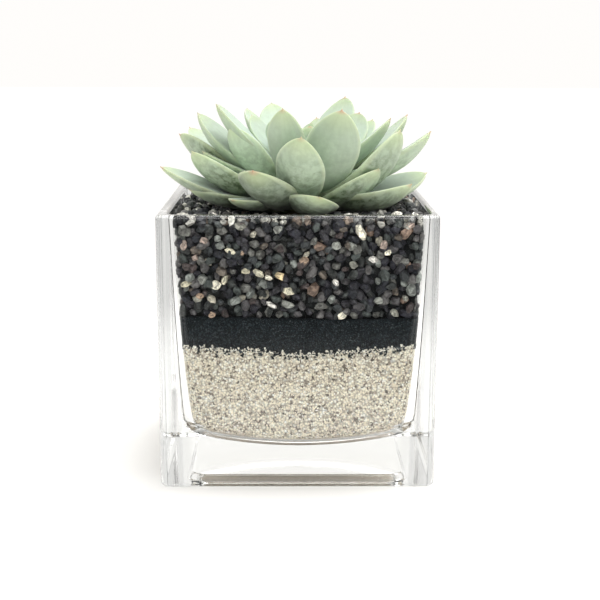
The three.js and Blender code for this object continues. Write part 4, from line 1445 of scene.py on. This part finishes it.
def make_camera():
    """The camera that was fitted to the corners of the vase in the photo."""
    forward = Vector((
        math.sin(CAMERA_YAW) * math.cos(CAMERA_PITCH),
        math.cos(CAMERA_YAW) * math.cos(CAMERA_PITCH),
        -math.sin(CAMERA_PITCH),
    ))
    right = forward.cross(Vector((0, 0, 1))).normalized()
    up = right.cross(forward)
    level_right = right * math.cos(CAMERA_ROLL) + up * math.sin(CAMERA_ROLL)
    level_up = up * math.cos(CAMERA_ROLL) - right * math.sin(CAMERA_ROLL)
    turn = Matrix((level_right, level_up, -forward)).transposed().to_4x4()
    data = bpy.data.cameras.new("front_camera")
    data.sensor_width = SENSOR_WIDTH
    data.lens = SENSOR_WIDTH * FOCAL_PIXELS / PICTURE_PIXELS
    data.clip_start, data.clip_end = 0.02, 50
    camera = bpy.data.objects.new("front_camera", data)
    bpy.context.scene.collection.objects.link(camera)
    camera.matrix_world = Matrix.Translation(Vector(CAMERA_PLACE) * MM) @ turn
    bpy.context.scene.camera = camera


# Add-on

def colour_value(label, what, value):
    """A property for a colour."""
    return FloatVectorProperty(
        name=label, description=what, size=4, subtype="COLOR", min=0, max=1, default=value,
    )


def length_value(label, what, value):
    """A property for a length in metres."""
    return FloatProperty(name=label, description=what, unit="LENGTH", default=value)


def brightness_value(label, what, value):
    """A property for a brightness."""
    return FloatProperty(name=label, description=what, min=0, default=value)


class VaseSettings(bpy.types.PropertyGroup):
    """Values of the glass."""

    tint: colour_value("Glass tint", "Colour that the glass gives to light", (0.955, 0.962, 0.948, 1.0))


class FillSettings(bpy.types.PropertyGroup):
    """Values of the sand and gravel layers."""

    tan_grain: length_value("Tan grain", "Width of a grain of tan sand", 0.95 * MM)
    black_grain: length_value("Black grain", "Width of a grain of black sand", 0.45 * MM)
    stone_size: length_value("Stone", "Width of a common stone of the gravel", 3.8 * MM)
    seed: IntProperty(name="Seed", description="Fixes where grains and stones fall", default=5)


class PlantSettings(bpy.types.PropertyGroup):
    """Colours of the rosette."""

    leaf_inner: colour_value("Inner", "Hollow inner face near the heart", shade(184, 201, 192))
    leaf_upper: colour_value("Inner tip", "Inner face near the tip", shade(190, 206, 187))
    leaf_base: colour_value("Outer base", "Outer face near the root", shade(130, 150, 110))
    leaf_outer: colour_value("Outer", "Outer face towards the tip", shade(177, 194, 168))
    leaf_young: colour_value("Young", "Tint of the young leaves", shade(190, 207, 186))
    leaf_bare: colour_value("Rubbed", "Where the powder is rubbed off", shade(62, 84, 42))
    leaf_tip: colour_value("Tip", "Yellow-green near the tip", shade(196, 208, 150))
    # Rim colour: a pale margin that is partly a painted highlight
    leaf_rim_highlight: colour_value("Rim", "Thin pale margin", shade(216, 226, 188))
    leaf_blush: colour_value("Blush", "Pink point of the tip", shade(196, 142, 122))
    seed: IntProperty(name="Seed", description="Fixes how the leaves differ", default=3)


class StageSettings(bpy.types.PropertyGroup):
    """Values of the floor and the light."""

    floor_size: length_value("Floor", "Width of the floor", 8.0)
    floor_colour: colour_value("Floor colour", "Colour of the sweep", (0.9, 0.895, 0.885, 1.0))
    key_power: FloatProperty(name="Key", description="Power of the softbox above", unit="POWER", default=13.2)
    side_dark: brightness_value("Sides", "Brightness of the room at both sides", 0.82)
    room_dark: brightness_value("Near side", "Brightness behind the viewer", 0.55)
    glass_dark: brightness_value("Near in glass", "Brightness behind the viewer in the glass", 0.82)
    glass_light: brightness_value("Far in glass", "Brightness of the far room in the glass", 1.0)


class TERRARIUM_OT_stage(bpy.types.Operator):
    """Makes the floor, the soft light and the camera."""

    bl_idname = "terrarium.stage"
    bl_label = "Stage"
    bl_options = {"REGISTER", "UNDO"}

    def execute(self, context):
        make_stage(context.scene.terrarium_stage)
        return {"FINISHED"}


class TERRARIUM_OT_vase(bpy.types.Operator):
    """Makes the thick pressed glass vase."""

    bl_idname = "terrarium.vase"
    bl_label = "Glass vase"
    bl_options = {"REGISTER", "UNDO"}

    def execute(self, context):
        make_vase(context.scene.terrarium_vase)
        return {"FINISHED"}


class TERRARIUM_OT_tan_sand(bpy.types.Operator):
    """Fills the lowest layer with coarse tan grains."""

    bl_idname = "terrarium.tan_sand"
    bl_label = "Tan sand"
    bl_options = {"REGISTER", "UNDO"}

    def execute(self, context):
        make_tan_sand(context.scene.terrarium_fill)
        return {"FINISHED"}


class TERRARIUM_OT_black_sand(bpy.types.Operator):
    """Fills the thin band of fine black sand."""

    bl_idname = "terrarium.black_sand"
    bl_label = "Black sand"
    bl_options = {"REGISTER", "UNDO"}

    def execute(self, context):
        make_black_sand(context.scene.terrarium_fill)
        return {"FINISHED"}


class TERRARIUM_OT_gravel(bpy.types.Operator):
    """Packs the mixed gravel up to the rim."""

    bl_idname = "terrarium.gravel"
    bl_label = "Gravel"
    bl_options = {"REGISTER", "UNDO"}

    def execute(self, context):
        make_gravel(context.scene.terrarium_fill)
        return {"FINISHED"}


class TERRARIUM_OT_roots(bpy.types.Operator):
    """Makes the root ball and the stem."""

    bl_idname = "terrarium.roots"
    bl_label = "Root ball and stem"
    bl_options = {"REGISTER", "UNDO"}

    def execute(self, context):
        make_roots()
        return {"FINISHED"}


class TERRARIUM_OT_leaves(bpy.types.Operator):
    """Grows the leaves and the heart of the rosette."""

    bl_idname = "terrarium.leaves"
    bl_label = "Rosette"
    bl_options = {"REGISTER", "UNDO"}

    def execute(self, context):
        make_leaves(context.scene.terrarium_plant)
        return {"FINISHED"}


STEPS = [
    TERRARIUM_OT_stage, TERRARIUM_OT_vase, TERRARIUM_OT_tan_sand, TERRARIUM_OT_black_sand,
    TERRARIUM_OT_gravel, TERRARIUM_OT_roots, TERRARIUM_OT_leaves,
]


class TERRARIUM_PT_maker(bpy.types.Panel):
    """Lists the steps of the terrarium in the sidebar."""

    bl_idname = "TERRARIUM_PT_maker"
    bl_label = "Terrarium"
    bl_space_type = "VIEW_3D"
    bl_region_type = "UI"
    bl_category = "Terrarium"

    def draw(self, context):
        for step in STEPS:
            self.layout.operator(step.bl_idname)


GROUPS = {
    "terrarium_vase": VaseSettings, "terrarium_fill": FillSettings,
    "terrarium_plant": PlantSettings, "terrarium_stage": StageSettings,
}
CLASSES = [*GROUPS.values(), *STEPS, TERRARIUM_PT_maker]


def register():
    """Makes the classes and the settings known to Blender."""
    for each in CLASSES:
        bpy.utils.register_class(each)
    for name, group in GROUPS.items():
        setattr(bpy.types.Scene, name, PointerProperty(type=group))


def unregister():
    """Takes the settings and the classes back out."""
    for name in GROUPS:
        delattr(bpy.types.Scene, name)
    for each in reversed(CLASSES):
        bpy.utils.unregister_class(each)


def main():
    """Builds everything in order."""
    register()
    bpy.ops.terrarium.stage()
    bpy.ops.terrarium.vase()
    bpy.ops.terrarium.tan_sand()
    bpy.ops.terrarium.black_sand()
    bpy.ops.terrarium.gravel()
    bpy.ops.terrarium.roots()
    bpy.ops.terrarium.leaves()


if __name__ == "__main__":
    main()
